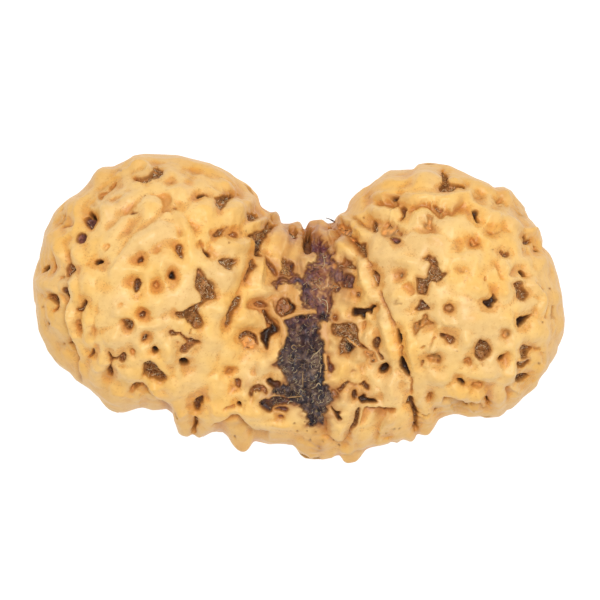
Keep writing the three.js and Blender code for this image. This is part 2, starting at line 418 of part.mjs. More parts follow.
// Thins a closed mesh to a number of triangles: the edge whose loss changes the shape least goes first.
const FLATTEST = 1e-9; // below this the best place for a joined corner isn't defined
const SHORT_FIRST = 1e-5; // a small price on length, so that flat places lose their shortest edges first
const MOST_TURN = 0.25; // the least cosine between a triangle before and after
const LEAST_AREA = 1e-4;
function thin(positions, faces, budget) {
  const count = positions.length / 3;
  const at = (v) => new Vector3().fromArray(positions, v * 3);
  const quadric = Array.from({ length: count }, () => new Float64Array(10));
  const around = Array.from({ length: count }, () => []);
  const version = new Int32Array(count);
  const alive = new Uint8Array(faces.length / 3).fill(1);
  const corners = (f) => [faces[f * 3], faces[f * 3 + 1], faces[f * 3 + 2]];
  for (let f = 0; f < alive.length; f++) {
    const [a, b, c] = corners(f);
    const n = at(b).sub(at(a)).cross(at(c).sub(at(a)));
    const area = n.length() / 2;
    n.normalize();
    const plane = [n.x, n.y, n.z, -n.dot(at(a))];
    for (const v of [a, b, c]) {
      around[v].push(f);
      let slot = 0;
      for (let i = 0; i < 4; i++) {
        for (let j = i; j < 4; j++) quadric[v][slot++] += plane[i] * plane[j] * area;
      }
    }
  }
  const cost = (q, { x, y, z }) =>
    q[0] * x * x + 2 * q[1] * x * y + 2 * q[2] * x * z + 2 * q[3] * x + q[4] * y * y +
    2 * q[5] * y * z + 2 * q[6] * y + q[7] * z * z + 2 * q[8] * z + q[9];
  const heap = [];
  const push = (entry) => {
    heap.push(entry);
    let i = heap.length - 1;
    while (i > 0 && heap[(i - 1) >> 1].cost > heap[i].cost) {
      const up = (i - 1) >> 1;
      [heap[i], heap[up]] = [heap[up], heap[i]];
      i = up;
    }
  };
  const pop = () => {
    const top = heap[0];
    const last = heap.pop();
    if (heap.length) {
      heap[0] = last;
      for (let i = 0; ; ) {
        let least = i;
        for (const child of [2 * i + 1, 2 * i + 2])
          if (child < heap.length && heap[child].cost < heap[least].cost) least = child;
        if (least === i) break;
        [heap[i], heap[least]] = [heap[least], heap[i]];
        i = least;
      }
    }
    return top;
  };
  const offer = (a, b) => {
    const q = quadric[a].map((value, i) => value + quadric[b][i]);
    const solver = new THREE.Matrix3().set(q[0], q[1], q[2], q[1], q[4], q[5], q[2], q[5], q[7]);
    const middle = at(a).add(at(b)).multiplyScalar(0.5);
    const choices = [middle];
    if (Math.abs(solver.determinant()) > FLATTEST) {
      const best = new Vector3(-q[3], -q[6], -q[8]).applyMatrix3(solver.invert());
      if (best.distanceTo(middle) < at(a).distanceTo(at(b))) choices.push(best);
    }
    const price = SHORT_FIRST * at(a).distanceToSquared(at(b));
    const scored = choices.map((to) => ({ to, cost: cost(q, to) + price }));
    const best = scored.sort((one, two) => one.cost - two.cost)[0];
    push({ cost: best.cost, to: best.to, a, b, stamp: version[a] + version[b] });
  };
  const neighbours = (v) => new Set(around[v].flatMap(corners).filter((w) => w !== v));
  for (let f = 0; f < alive.length; f++) {
    const [a, b, c] = corners(f);
    for (const [u, v] of [[a, b], [b, c], [c, a]]) if (u < v) offer(u, v);
  }
  const folds = (v, other, to) =>
    around[v].some((f) => {
      const ids = corners(f);
      if (ids.includes(other)) return false;
      const before = ids.map(at);
      const after = ids.map((w) => (w === v ? to : at(w)));
      const [m, n] = [before, after].map(([p, q, r]) => q.clone().sub(p).cross(r.clone().sub(p)));
      return m.dot(n) < MOST_TURN * m.length() * n.length() || n.length() < LEAST_AREA;
    });
  let left = alive.length;
  while (left > budget && heap.length) {
    const { a, b, to, stamp } = pop();
    if (version[a] < 0 || version[b] < 0 || version[a] + version[b] !== stamp) continue;
    const ring = neighbours(a);
    if (!ring.has(b)) continue;
    const shared = [...neighbours(b)].filter((v) => ring.has(v));
    if (shared.length !== 2 || folds(a, b, to) || folds(b, a, to)) continue;
    for (const f of around[b]) {
      if (corners(f).includes(a)) {
        alive[f] = 0;
        left--;
      } else {
        for (let i = 0; i < 3; i++) if (faces[f * 3 + i] === b) faces[f * 3 + i] = a;
        around[a].push(f);
      }
    }
    for (const v of shared) around[v] = around[v].filter((f) => alive[f]);
    around[a] = around[a].filter((f) => alive[f]);
    around[b] = [];
    version[b] = -1;
    version[a]++;
    to.toArray(positions, a * 3);
    quadric[a] = quadric[a].map((value, i) => value + quadric[b][i]);
    for (const v of neighbours(a)) offer(a, v);
  }
  return [...alive.keys()].filter((f) => alive[f]).flatMap(corners);
}

function geometryFrom(positions, triangles) {
  const geometry = new THREE.BufferGeometry();
  geometry.setAttribute('position', new THREE.Float32BufferAttribute(positions, 3));
  return geometry.setIndex([...triangles]);
}

const SAME_PLACE = 1e-4;
function manifoldFrom(geometry) {
  const bare = new THREE.BufferGeometry().setAttribute('position', geometry.getAttribute('position').clone());
  const merged = mergeVertices(bare.setIndex(geometry.index.clone()), SAME_PLACE);
  const vertProperties = new Float32Array(merged.getAttribute('position').array);
  const triVerts = new Uint32Array(merged.index.array);
  return new wasm.Manifold(new wasm.Mesh({ numProp: 3, vertProperties, triVerts }));
}

// The seed's whole surface: a fine capsule pushed out to the form and its relief, then thinned.
function seedSkin() {
  const halfLength = 1; // the capsule is only a pattern of places, so its own size is free
  const girth = 2 * Math.PI * LOBE_RADIUS;
  const steps = [CAP_LENGTH, girth, MIDDLE_LENGTH].map((length) => Math.round(length / SOURCE_STEP));
  const capsule = new THREE.CapsuleGeometry(1, 2 * halfLength, ...steps);
  capsule.deleteAttribute('normal');
  capsule.deleteAttribute('uv');
  const merged = mergeVertices(capsule, SAME_PLACE / 10);
  const vertices = merged.getAttribute('position');
  const positions = new Float64Array(vertices.count * 3);
  for (let i = 0; i < vertices.count; i++) {
    const base = place(new Vector3().fromBufferAttribute(vertices, i), halfLength);
    const normal = formNormal(base);
    base.addScaledVector(normal, relief(base, normal)).toArray(positions, i * 3);
  }
  const faces = thin(positions, new Uint32Array(merged.index.array), TRIANGLES);
  return geometryFrom(positions, faces);
}

// The ridges that touch the surface are worn flat there, so the seed lies on three small flat spots.
const FLOOR = { wide: 80, thick: 10 };
function wearFlat(skin) {
  const floor = new THREE.BoxGeometry(FLOOR.wide, FLOOR.wide, FLOOR.thick).translate(0, 0, -FLOOR.thick / 2);
  const mesh = manifoldFrom(skin).subtract(manifoldFrom(floor)).getMesh();
  return geometryFrom(mesh.vertProperties, mesh.triVerts);
}

function rudrakshaSeed() {
  const geometry = wearFlat(seedSkin());
  geometry.computeBoundingBox();
  const middle = geometry.boundingBox.getCenter(new Vector3());
  geometry.translate(-middle.x, -middle.y, 0);
  geometry.computeVertexNormals();
  const husk = new THREE.MeshStandardMaterial({ color: 0xf0bd74, roughness: 0.62, metalness: 0 });
  const mesh = new THREE.Mesh(geometry, husk);
  mesh.name = 'rudraksha_seed';
  return mesh;
}

const part = new THREE.Group();
part.add(rudrakshaSeed());
export default part;
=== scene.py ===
# %% [markdown]
# # A twin rudraksha seed
# Two stones of one fruit that grew together side by side. Each is a woody, netted husk: a waxy tan net of
# rounded ridges over a brown bed of dry fibre, and between the two runs a dark, torn strip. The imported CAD
# model gives the place and the size. This lesson makes the same husk again with a much finer surface, fills
# its openings with fibre, and lights it as a small thing on a bright table is lit.

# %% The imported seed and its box
import math

import bpy
import numpy as np
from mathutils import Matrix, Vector


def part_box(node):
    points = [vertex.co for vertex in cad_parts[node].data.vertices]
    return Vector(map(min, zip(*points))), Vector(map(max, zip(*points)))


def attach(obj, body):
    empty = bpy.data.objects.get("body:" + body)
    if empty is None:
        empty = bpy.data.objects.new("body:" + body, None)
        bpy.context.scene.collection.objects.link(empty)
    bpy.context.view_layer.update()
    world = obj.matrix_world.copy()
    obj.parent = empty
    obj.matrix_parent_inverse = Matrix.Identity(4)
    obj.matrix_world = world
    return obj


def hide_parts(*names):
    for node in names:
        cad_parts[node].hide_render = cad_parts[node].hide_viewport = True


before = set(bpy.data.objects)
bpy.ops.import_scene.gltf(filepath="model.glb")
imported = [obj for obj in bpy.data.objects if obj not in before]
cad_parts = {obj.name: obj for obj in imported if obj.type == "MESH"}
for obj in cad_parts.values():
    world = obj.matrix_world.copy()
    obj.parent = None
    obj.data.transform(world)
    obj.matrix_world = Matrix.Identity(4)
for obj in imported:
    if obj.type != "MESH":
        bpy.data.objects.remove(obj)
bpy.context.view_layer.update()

MM = 0.001  # the scene is in metres, and the seed is measured in millimetres

# %% [markdown]
# ## Camera
# The seed lies on its back and the camera looks straight down on its face. A small thing is photographed
# with a long lens from some way off, so that its near side isn't swollen. The lens below is worked out from
# that distance and from how much of the table the frame shows.

# %% A camera that looks straight down
PICTURE_WIDTH = 43.02  # mm of the table across the frame, at the height of the seed's rim
CAMERA_HEIGHT = 900.0  # mm above the seed's rim
RIM_HEIGHT = 8.0
SENSOR = 36.0
SEED_IN_FRAME = (0.04, 0.61)  # where the frame's middle lies, from the middle of the seed's pattern


def add_object(name, data):
    made = bpy.data.objects.new(name, data)
    bpy.context.scene.collection.objects.link(made)
    return made


def add_camera(middle):
    data = bpy.data.cameras.new("face_camera")
    data.sensor_width = SENSOR
    data.lens = SENSOR * CAMERA_HEIGHT / PICTURE_WIDTH
    data.clip_start = 0.01
    data.clip_end = 10.0
    camera = add_object("face_camera", data)
    x = (SEED_IN_FRAME[0] - middle[0]) * MM
    y = (SEED_IN_FRAME[1] - middle[1]) * MM
    camera.location = (x, y, (RIM_HEIGHT + CAMERA_HEIGHT) * MM)
    bpy.context.scene.camera = camera
    print("lens:", round(data.lens), "mm")
    return camera


# %% [markdown]
# ## The smooth form
# A lobe is nearly a ball that is a little longer on one axis, and that axis leans to the notch. A third,
# squarer body joins the two. They could be joined with a boolean and a fillet, but a distance rule welds
# them with one soft valley, and it gives the same form as the CAD solid, because the numbers are the same.

# %% Three bodies that run into each other
LEFT = {"centre": (-10.2, 2.0, 8.88), "radii": (8.55, 9.25, 9.0), "lean": -28.0, "squareness": 2.0}
RIGHT = {"centre": (10.5, 1.3, 8.58), "radii": (7.75, 9.45, 8.65), "lean": 30.0, "squareness": 2.0}
CORE = {"centre": (-0.2, -2.1, 7.1), "radii": (10.9, 8.1, 7.0), "lean": -7.5, "squareness": 2.8}
WELD = 2.0


def body_distance(p, body):
    c = math.cos(math.radians(body["lean"]))
    s = math.sin(math.radians(body["lean"]))
    n = body["squareness"]
    radii = body["radii"]
    d = p - np.array(body["centre"])
    x = np.abs(d[:, 0] * c + d[:, 1] * s) / radii[0]
    y = np.abs(d[:, 1] * c - d[:, 0] * s) / radii[1]
    z = np.abs(d[:, 2]) / radii[2]
    if n == 2.0:
        return (np.sqrt(x * x + y * y + z * z) - 1.0) * min(radii)
    return ((x**n + y**n + z**n) ** (1.0 / n) - 1.0) * min(radii)


def weld(a, b):
    h = np.maximum(WELD - np.abs(a - b), 0.0) / WELD
    return np.minimum(a, b) - h * h * WELD / 4.0


def form(p):
    lobes = weld(body_distance(p, LEFT), body_distance(p, RIGHT))
    return weld(lobes, body_distance(p, CORE))


def form_normal(p):
    steps = 0.02 * np.eye(3)
    slope = np.column_stack([form(p + step) - form(p - step) for step in steps])
    return slope / np.linalg.norm(slope, axis=1, keepdims=True)


# %% [markdown]
# A ray that starts inside the form leaves it once, so halving the step again and again finds the skin. A
# spine runs through both lobes, and every place on the skin is named by a spot on that spine and a direction
# out of it.

# %% From the spine out to the skin
REACH = 16.0  # mm, farther than any skin is from the spine
HALVINGS = 30
BIAS = 0.35  # mm; a place this near to the rim or past it is put on the rim
RIM_STEPS = 12


def cast(start, direction):
    inside = np.zeros(len(start))
    outside = np.full(len(start), REACH)
    for _ in range(HALVINGS):
        middle = (inside + outside) / 2.0
        hit = form(start + direction * middle[:, None]) < 0.0
        inside = np.where(hit, middle, inside)
        outside = np.where(hit, outside, middle)
    return start + direction * inside[:, None]


def spine(s):
    left, core, right = (np.array(body["centre"]) for body in (LEFT, CORE, RIGHT))
    half = (right - left) / 2.0
    bow = (right + left) / 2.0 - core
    return core + half * s[:, None] + bow * (s * s)[:, None]


def on_face(xy, side=1.0):
    """Points of the front (or of the back) at these x and y. Past the outline they lie on the rim."""
    xy = np.atleast_2d(np.asarray(xy, dtype=float))
    p = np.column_stack([xy, np.full(len(xy), RIM_HEIGHT)])
    rim = form(p) > -BIAS
    out = p.copy()
    for _ in range(RIM_STEPS):
        out[rim] -= form_normal(out[rim]) * form(out[rim])[:, None]
    up = np.tile([0.0, 0.0, side], (int((~rim).sum()), 1))
    out[~rim] = cast(p[~rim], up)
    return out


# %% [markdown]
# The net could be sculpted by hand, but a hand's strokes can't be read or changed later. So a few small
# rules make it: smooth steps, noise that is the same each time, and distances to points, to lines and to
# outlines.

# %% Steps, draws and noise
NOISE_STEPS = (127.1, 311.7, 74.7)
SCATTER = 43758.5453


def clamp01(v):
    return np.clip(v, 0.0, 1.0)


def ease(v):
    """A smooth step from 0 to 1. It stays at 0 below 0 and at 1 above 1."""
    v = clamp01(v)
    return v * v * (3.0 - 2.0 * v)


def frac(v):
    return v - np.floor(v)


def draw(i, salt):
    """The same number between 0 and 1 each time for the same i and salt."""
    return frac(math.sin(i * 12.9898 + salt * 78.233) * SCATTER)


def noise(p):
    """Smooth noise between -1 and 1 that changes over a distance of one unit."""
    corner = np.floor(p)
    u = ease(p - corner)
    total = np.zeros(len(p))
    for sides in np.ndindex(2, 2, 2):
        weight = np.prod(np.where(sides, u, 1.0 - u), axis=1)
        seed = sum((corner[:, n] + side) * NOISE_STEPS[n] for n, side in enumerate(sides))
        total += weight * frac(np.sin(seed) * SCATTER)
    return total * 2.0 - 1.0


def noises(p, *shifts):
    """Several noises side by side, each from a place of its own."""
    return np.column_stack([noise(p + shift) for shift in shifts])


# %% Distances to points, lines and outlines
def chain_distance(p, points):
    """Distance from each p to a chain of points."""
    if len(points) == 1:
        return np.linalg.norm(p - points[0], axis=1)
    best = np.full(len(p), np.inf)
    for a, b in zip(points[:-1], points[1:]):
        link = b - a
        share = clamp01((p - a) @ link / (link @ link))
        best = np.minimum(best, np.linalg.norm(p - (a + share[:, None] * link), axis=1))
    return best


def side_and_share(q, points):
    """Distance from each q to a line, positive on the left of its way, and the share of its length there."""
    lengths = np.linalg.norm(np.diff(points, axis=0), axis=1)
    before = np.concatenate([[0.0], np.cumsum(lengths)])
    best = np.full(len(q), np.inf)
    side = np.ones(len(q))
    along = np.zeros(len(q))
    for a, b, start, length in zip(points[:-1], points[1:], before, lengths):
        link = b - a
        to = q - a
        share = clamp01(to @ link / length**2)
        distance = np.linalg.norm(to - share[:, None] * link, axis=1)
        closer = distance < best
        best = np.where(closer, distance, best)
        side = np.where(closer, np.where(link[0] * to[:, 1] - link[1] * to[:, 0] > 0.0, 1.0, -1.0), side)
        along = np.where(closer, (start + share * length) / before[-1], along)
    return best * side, along


def outline_distance(q, corners):
    """Distance from each q to a closed outline, negative inside it."""
    best = np.full(len(q), np.inf)
    inside = np.zeros(len(q), dtype=bool)
    for a, b in zip(corners, np.roll(corners, -1, axis=0)):
        link = b - a
        to = q - a
        share = clamp01(to @ link / (link @ link))
        best = np.minimum(best, ((to - share[:, None] * link) ** 2).sum(axis=1))
        crosses = (a[1] > q[:, 1]) != (b[1] > q[:, 1])
        if link[1] != 0.0:
            inside ^= crosses & (q[:, 0] < a[0] + to[:, 1] * link[0] / link[1])
    return np.sqrt(best) * np.where(inside, -1.0, 1.0)


def rounded(corners):
    """A closed outline with each corner cut once, as broken husk is never sharp."""
    after = np.roll(corners, -1, axis=0)
    return np.stack([0.75 * corners + 0.25 * after, 0.25 * corners + 0.75 * after], axis=1).reshape(-1, 2)


def pairs(flat):
    return np.array(flat, dtype=float).reshape(-1, 2)


# %% [markdown]
# ## What is carved into the husk
# Each opening has an outline of its own, because the net tore and grew round each one differently. They
# could be scattered by a rule, but the eye knows this seed by its pattern. So each outline is read off the
# real seed as corners in millimetres, and a kind says how its bed looks.

# %% What each kind of opening shows
KINDS = {
    # the bed's colour, the share of it under fibre, and the depth and the width of the funnel round it in
    # mm.
    # The beds of black, dark, tan and dent openings are darker the deeper they lie: partly their own colour,
    # partly painted shade
    "black": ("#3a2418", 0.0, 0.34, 0.45),
    "dark": ("#7c5234", 0.3, 0.34, 0.45),
    "fibre": ("#ab7440", 1.0, 0.2, 0.32),
    "rust": ("#a0683c", 0.6, 0.3, 0.42),
    "tan": ("#c48d4c", 0.0, 0.3, 0.45),
    "dent": ("#d9a55c", 0.0, 0.05, 0.4),
    "purple": ("#7d5046", 0.35, 0.25, 0.36),
    "blue": ("#4a444a", 0.7, 0.15, 0.28),
    "grey": ("#b39468", 0.0, 0.2, 0.35),
    "straw": ("#b8935e", 0.8, 0.12, 0.3),
    "orange": ("#dd9c54", 0.1, 0.14, 0.32),
    "ring": ("#a87844", 0.0, 0.15, 0.28),
}

# %% Openings on the left lobe, middle: kind, depth, then x and y of each corner
OPENINGS = [
    ["dent", 0.35, -10.09, 4.32, -9.82, 4.32, -9.73, 4.14, -9.91, 4, -10.23, 3.91],
    ["dark", 0.9, -11.52, 3.55, -11.27, 3.64, -11.09, 3.75, -10.95, 3.64, -11, 3.36, -11.18, 3.23, -11.45,
     3.2],
    ["rust", 0.8, -8.45, 4.61, -8.23, 4.64, -8.18, 4.41, -8.23, 4.18, -8.14, 3.95, -8.05, 3.64, -8.18, 3.5,
     -8.41, 3.68, -8.59, 4, -8.7, 4.23, -8.64, 4.45],
    ["dark", 1.1, -11.64, 2.09, -11.32, 2.16, -11.14, 1.95, -11.09, 1.68, -11.23, 1.45, -11.41, 1.14, -11.59,
     1.14, -11.68, 1.41, -11.73, 1.68],
    ["tan", 0.6, -10.27, 1.91, -10.05, 2, -9.82, 1.86, -9.77, 1.64, -9.91, 1.41, -10.14, 1.45, -10.3, 1.68],
    ["black", 1.2, -8.91, 2.73, -8.73, 2.59, -8.66, 2.32, -8.68, 2.09, -8.91, 1.98, -9.18, 2.09, -9.18, 2.32,
     -9.05, 2.59],
    ["fibre", 1.1, -7.09, 2.93, -7.23, 2.77, -7.18, 2.45, -7.25, 2.05, -7.3, 1.73, -7.23, 1.36, -6.95, 1.09,
     -6.82, 0.82, -6.86, 0.55, -7.09, 0.36, -7.41, 0.23, -7.73, 0.05, -8.09, -0.18, -8.45, -0.27, -8.68,
     -0.27, -8.73, -0.45, -8.59, -0.64, -8.32, -0.77, -8.05, -0.77, -7.86, -0.86, -7.64, -1.09, -7.5, -1.36,
     -7.27, -1.45, -6.95, -1.45, -6.77, -1.32, -6.68, -1, -6.77, -0.73, -6.95, -0.55, -7.09, -0.32, -7.09,
     -0.05, -7, 0.14, -6.64, 0.41, -6.36, 0.66, -6.02, 0.64, -5.84, 0.66, -5.86, 0.91, -5.95, 1.23, -5.89,
     1.55, -6.02, 1.82, -6.32, 2, -6.5, 2.23, -6.64, 2.45, -6.82, 2.73],
    ["dent", 0.3, -12.73, 0.41, -12.41, 0.5, -12.3, 0.32, -12.45, 0.05, -12.77, -0.05, -12.86, 0.18],
    ["dark", 0.9, -11.27, -0.36, -11.05, -0.23, -10.82, -0.27, -10.86, -0.55, -11, -0.77, -11.23, -0.73,
     -11.36, -0.55],
    ["fibre", 1.1, -12.5, -0.82, -12.14, -0.75, -11.86, -0.91, -11.73, -1.14, -11.77, -1.45, -11.95, -1.64,
     -12.23, -1.55, -12.32, -1.23, -12.45, -1],
    ["tan", 0.4, -9.23, -1.6, -9.05, -1.5, -8.85, -1.68, -8.82, -1.85, -9.05, -1.95, -9.23, -1.85],
]

# %% Openings: left lobe, next to the groove
OPENINGS += [
    ["black", 1.1, -6.91, 4.41, -6.8, 4.09, -6.64, 3.84, -6.41, 3.68, -6.2, 3.68, -6.27, 3.91, -6.41, 4.02,
     -6.64, 4.14, -6.77, 4.41],
    ["fibre", 1.0, -5.32, 3.59, -4.86, 3.59, -4.27, 3.45, -4.45, 3.23, -4.68, 2.95, -4.86, 2.77, -5.09, 2.75,
     -5.32, 2.89, -5.55, 3.14, -5.73, 3.41],
]

# %% Openings: the groove between the left lobe and the core
OPENINGS += [
    ["black", 1.3, -3.02, 5, -3.05, 4.55, -3.14, 4.09, -3.05, 3.73, -2.5, 3.77, -2.77, 3.95, -2.77, 4.23,
     -2.68, 4.59, -2.45, 5],
    ["fibre", 1.1, -3.23, 3.64, -3.41, 3.45, -3.5, 3.18, -3.45, 3.05, -3.64, 2.82, -3.68, 2.55, -3.82, 2.27,
     -3.91, 2.05, -3.86, 1.86, -3.68, 1.95, -3.55, 2.27, -3.41, 2.68, -3.23, 2.82, -3, 3, -3.14, 3.18, -3.14,
     3.45],
    ["fibre", 1.1, -4.18, 1, -4.09, 0.68, -4.09, 0.36, -4.23, 0.09, -4.45, -0.05, -4.59, -0.18, -4.73, -0.41,
     -4.82, -0.68, -4.91, -1.05, -5.05, -1.36, -5.2, -1.41, -5.27, -1.23, -5.18, -0.86, -5.09, -0.45, -5.05,
     -0.09, -4.91, 0.09, -4.73, 0.23, -4.68, 0.5, -4.5, 0.77],
    ["rust", 0.6, -2.45, 3.9, -2.15, 3.5, -1.75, 3.2, -1.55, 2.8, -1.6, 2.3, -1.85, 2.35, -2.1, 2.9, -2.35,
     3.3],
]

# %% Openings: around the scar
OPENINGS += [
    ["straw", 0.6, -1.2, 3.7, -0.95, 3.6, -0.8, 3.3, -0.75, 2.95, -0.6, 2.6, -0.65, 2.25, -0.9, 2.3, -1.2,
     2.45, -1.45, 2.3, -1.4, 2.6, -1.2, 2.9, -1.3, 3.2],
    ["rust", 1.0, -1.2, 0.85, -0.95, 0.75, -0.7, 0.5, -0.4, 0.2, -0.36, 0, -0.5, -0.23, -0.86, -0.45, -1.23,
     -0.64, -1.5, -0.45, -1.68, -0.2, -1.7, 0.1, -1.5, 0.3, -1.45, 0.6],
    ["black", 1.3, -1, 0.95, -0.5, 0.5, -0.2, 0.2, -0.3, -0.25, -0.7, -0.5, -1.25, -0.7, -1.15, -0.3, -0.75,
     -0.1, -0.6, 0.13, -0.8, 0.45],
    ["dark", 0.8, -1.9, 0.62, -1.75, 0.6, -1.72, 0.2, -1.75, -0.25, -1.85, -0.2, -1.87, 0.2],
    ["rust", 0.8, -3, 0.45, -2.73, 0.59, -2.41, 0.5, -2.18, 0.45, -2.23, 0.18, -2.45, 0.05, -2.91, 0.09,
     -3.09, 0.23],
    ["dark", 1.1, -2.59, -0.09, -2.41, -0.45, -2.32, -0.91, -2.05, -1.23, -1.73, -1.68, -1.5, -1.6, -1.5,
     -1.4, -1.59, -1.18, -1.86, -0.86, -2.14, -0.45, -2.32, -0.05],
    ["rust", 0.8, 3.1, 3.7, 3.35, 3.5, 3.6, 3.4, 3.7, 3.15, 4, 3, 3.95, 2.75, 3.5, 2.9, 3.2, 3, 2.75, 2.95,
     2.7, 3.15, 3.05, 3.3],
    ["purple", 0.9, 3.05, 2.55, 3.35, 2.55, 3.65, 2.5, 3.85, 2.3, 3.86, 2, 3.76, 1.6, 3.75, 1.4, 3, 1.42,
     2.92, 1.65, 3, 1.9],
    ["rust", 0.5, 3.95, 1.2, 4.15, 1.25, 4.33, 1.05, 4.3, 0.8, 4.05, 0.68, 3.93, 0.9],
    ["black", 1.3, 3.62, -0.3, 3.66, -0.05, 3.8, 0.08, 4.05, 0.1, 4.4, 0, 4.75, 0, 5, 0.22, 5.12, 0.3, 5.32,
     0.2, 5.38, 0.05, 5.1, -0.02, 5.1, -0.38, 4.95, -0.45, 4.78, -0.25, 4.6, -0.4, 4.62, -0.65, 4.5, -0.8,
     4.3, -0.72, 4.25, -0.55, 3.95, -0.62, 3.72, -0.55],
    ["tan", 0.5, 4.45, -0.85, 4.7, -0.9, 4.68, -1.2, 4.6, -1.45, 4.4, -1.4, 4.35, -1.1],
    ["rust", 0.6, 2.45, -0.3, 2.65, -0.5, 2.7, -0.78, 2.55, -0.9, 2.3, -0.7, 2.4, -0.5],
]

# %% Openings: the groove between the core and the right lobe
OPENINGS += [
    ["fibre", 1.0, 3.4, 5.15, 3.7, 4.75, 4.05, 4.5, 4.07, 4.1, 4.35, 3.85, 4.6, 3.6, 4.75, 3.62, 4.68, 3.9,
     4.62, 4.4, 4.66, 4.72, 4.35, 4.75, 4.1, 4.7, 3.85, 4.95, 3.6, 5.2],
    ["rust", 1.0, 5.02, 2.9, 5.2, 2.76, 5.45, 2.6, 5.55, 2.4, 5.61, 2.1, 5.58, 1.8, 5.5, 1.5, 5.38, 1.62,
     5.3, 1.9, 5.15, 2.2, 5.1, 2.5],
]

# %% Openings: right lobe
OPENINGS += [
    ["grey", 0.5, 7.1, 2.62, 7.25, 2.5, 7.27, 2.3, 7.15, 2.12, 7, 2.15, 6.93, 2.35, 6.98, 2.55],
    ["fibre", 1.0, 8.62, 3.55, 8.9, 3.66, 9.1, 3.86, 9.3, 3.76, 9.55, 3.66, 9.66, 3.55, 9.75, 3.3, 9.8, 2.95,
     9.9, 2.7, 10.1, 2.6, 10.38, 2.65, 10.3, 2.4, 10.1, 2.2, 10, 2.05, 9.8, 2, 9.7, 1.9, 9.5, 1.88, 9.25,
     1.98, 9.1, 1.88, 9.05, 1.6, 9, 1.2, 8.9, 1, 8.6, 0.92, 8.36, 1.06, 8.25, 1.4, 8.15, 1.8, 8.2, 2.2, 8.3,
     2.36, 8.5, 2.35, 8.75, 2.2, 8.95, 2.4, 9.1, 2.7, 9.1, 3, 9.12, 3.28, 9, 3.42, 8.88, 3.46],
    ["dark", 1.0, 8.5, 0.6, 8.66, 0.56, 8.85, 0.4, 9.05, 0.2, 9.2, 0.05, 9.1, -0.1, 8.9, -0.1, 8.5, -0.15,
     8.15, -0.25, 8.05, -0.15, 8.2, 0.1, 8.35, 0.35, 8.4, 0.52],
    ["ring", 0.7, 10.55, 0.4, 10.75, 0.3, 10.87, 0.1, 10.85, -0.12, 10.7, -0.28, 10.5, -0.33, 10.3, -0.25,
     10.2, -0.05, 10.22, 0.18, 10.35, 0.33],
    ["tan", 0.9, 8.82, -0.35, 9, -0.58, 8.98, -0.85, 9.4, -1, 9.48, -1.1, 9.2, -1.15, 8.85, -1.2, 8.7, -1.36,
     8.45, -1.55, 8.26, -1.75, 8.2, -1.95, 8.05, -1.87, 8.05, -1.7, 7.96, -1.5, 7.96, -1.2, 8.15, -1, 8.36,
     -0.86, 8.55, -0.8, 8.66, -0.56],
    ["rust", 0.8, 14.15, 4.12, 14.3, 4.25, 14.45, 4.1, 14.65, 4.05, 14.85, 4, 14.85, 3.8, 14.7, 3.66, 14.5,
     3.7, 14.25, 3.86],
    ["black", 1.2, 15.68, 2.72, 15.85, 2.8, 16.05, 2.5, 16.15, 2.32, 15.95, 2.3, 15.8, 2.4, 15.65, 2.58],
    ["fibre", 1.1, 15.1, 1.75, 15.4, 1.95, 15.7, 2, 15.85, 1.85, 15.85, 1.5, 16.05, 1.3, 16.25, 1.1, 16.2,
     0.9, 16, 0.75, 15.9, 0.6, 15.7, 0.55, 15.4, 0.65, 15.3, 0.9, 15.35, 1.2, 15.32, 1.5],
    ["black", 1.2, 13.65, 1.15, 13.8, 0.95, 13.85, 0.7, 14.05, 0.66, 13.9, 0.45, 13.75, 0.3, 13.65, 0.15,
     13.5, 0.05, 13.3, 0.05, 13.05, 0.2, 12.95, 0.4, 13.05, 0.55, 13.3, 0.6, 13.5, 0.75, 13.6, 0.9],
    ["black", 1.3, 15.4, -0.7, 15.7, -0.6, 16, -0.5, 16.3, -0.45, 16.56, -0.35, 16.5, -0.5, 16.25, -0.65,
     16.05, -0.85, 15.9, -1.1, 15.7, -1.3, 15.42, -1.35, 15.42, -1],
    ["tan", 0.5, 16.65, 4.5, 16.95, 4.5, 17.1, 4.3, 17, 4.05, 16.7, 4.05, 16.6, 4.25],
    ["tan", 0.3, 15.8, 4.4, 15.93, 4.35, 15.92, 4.12, 15.8, 4.1],
]

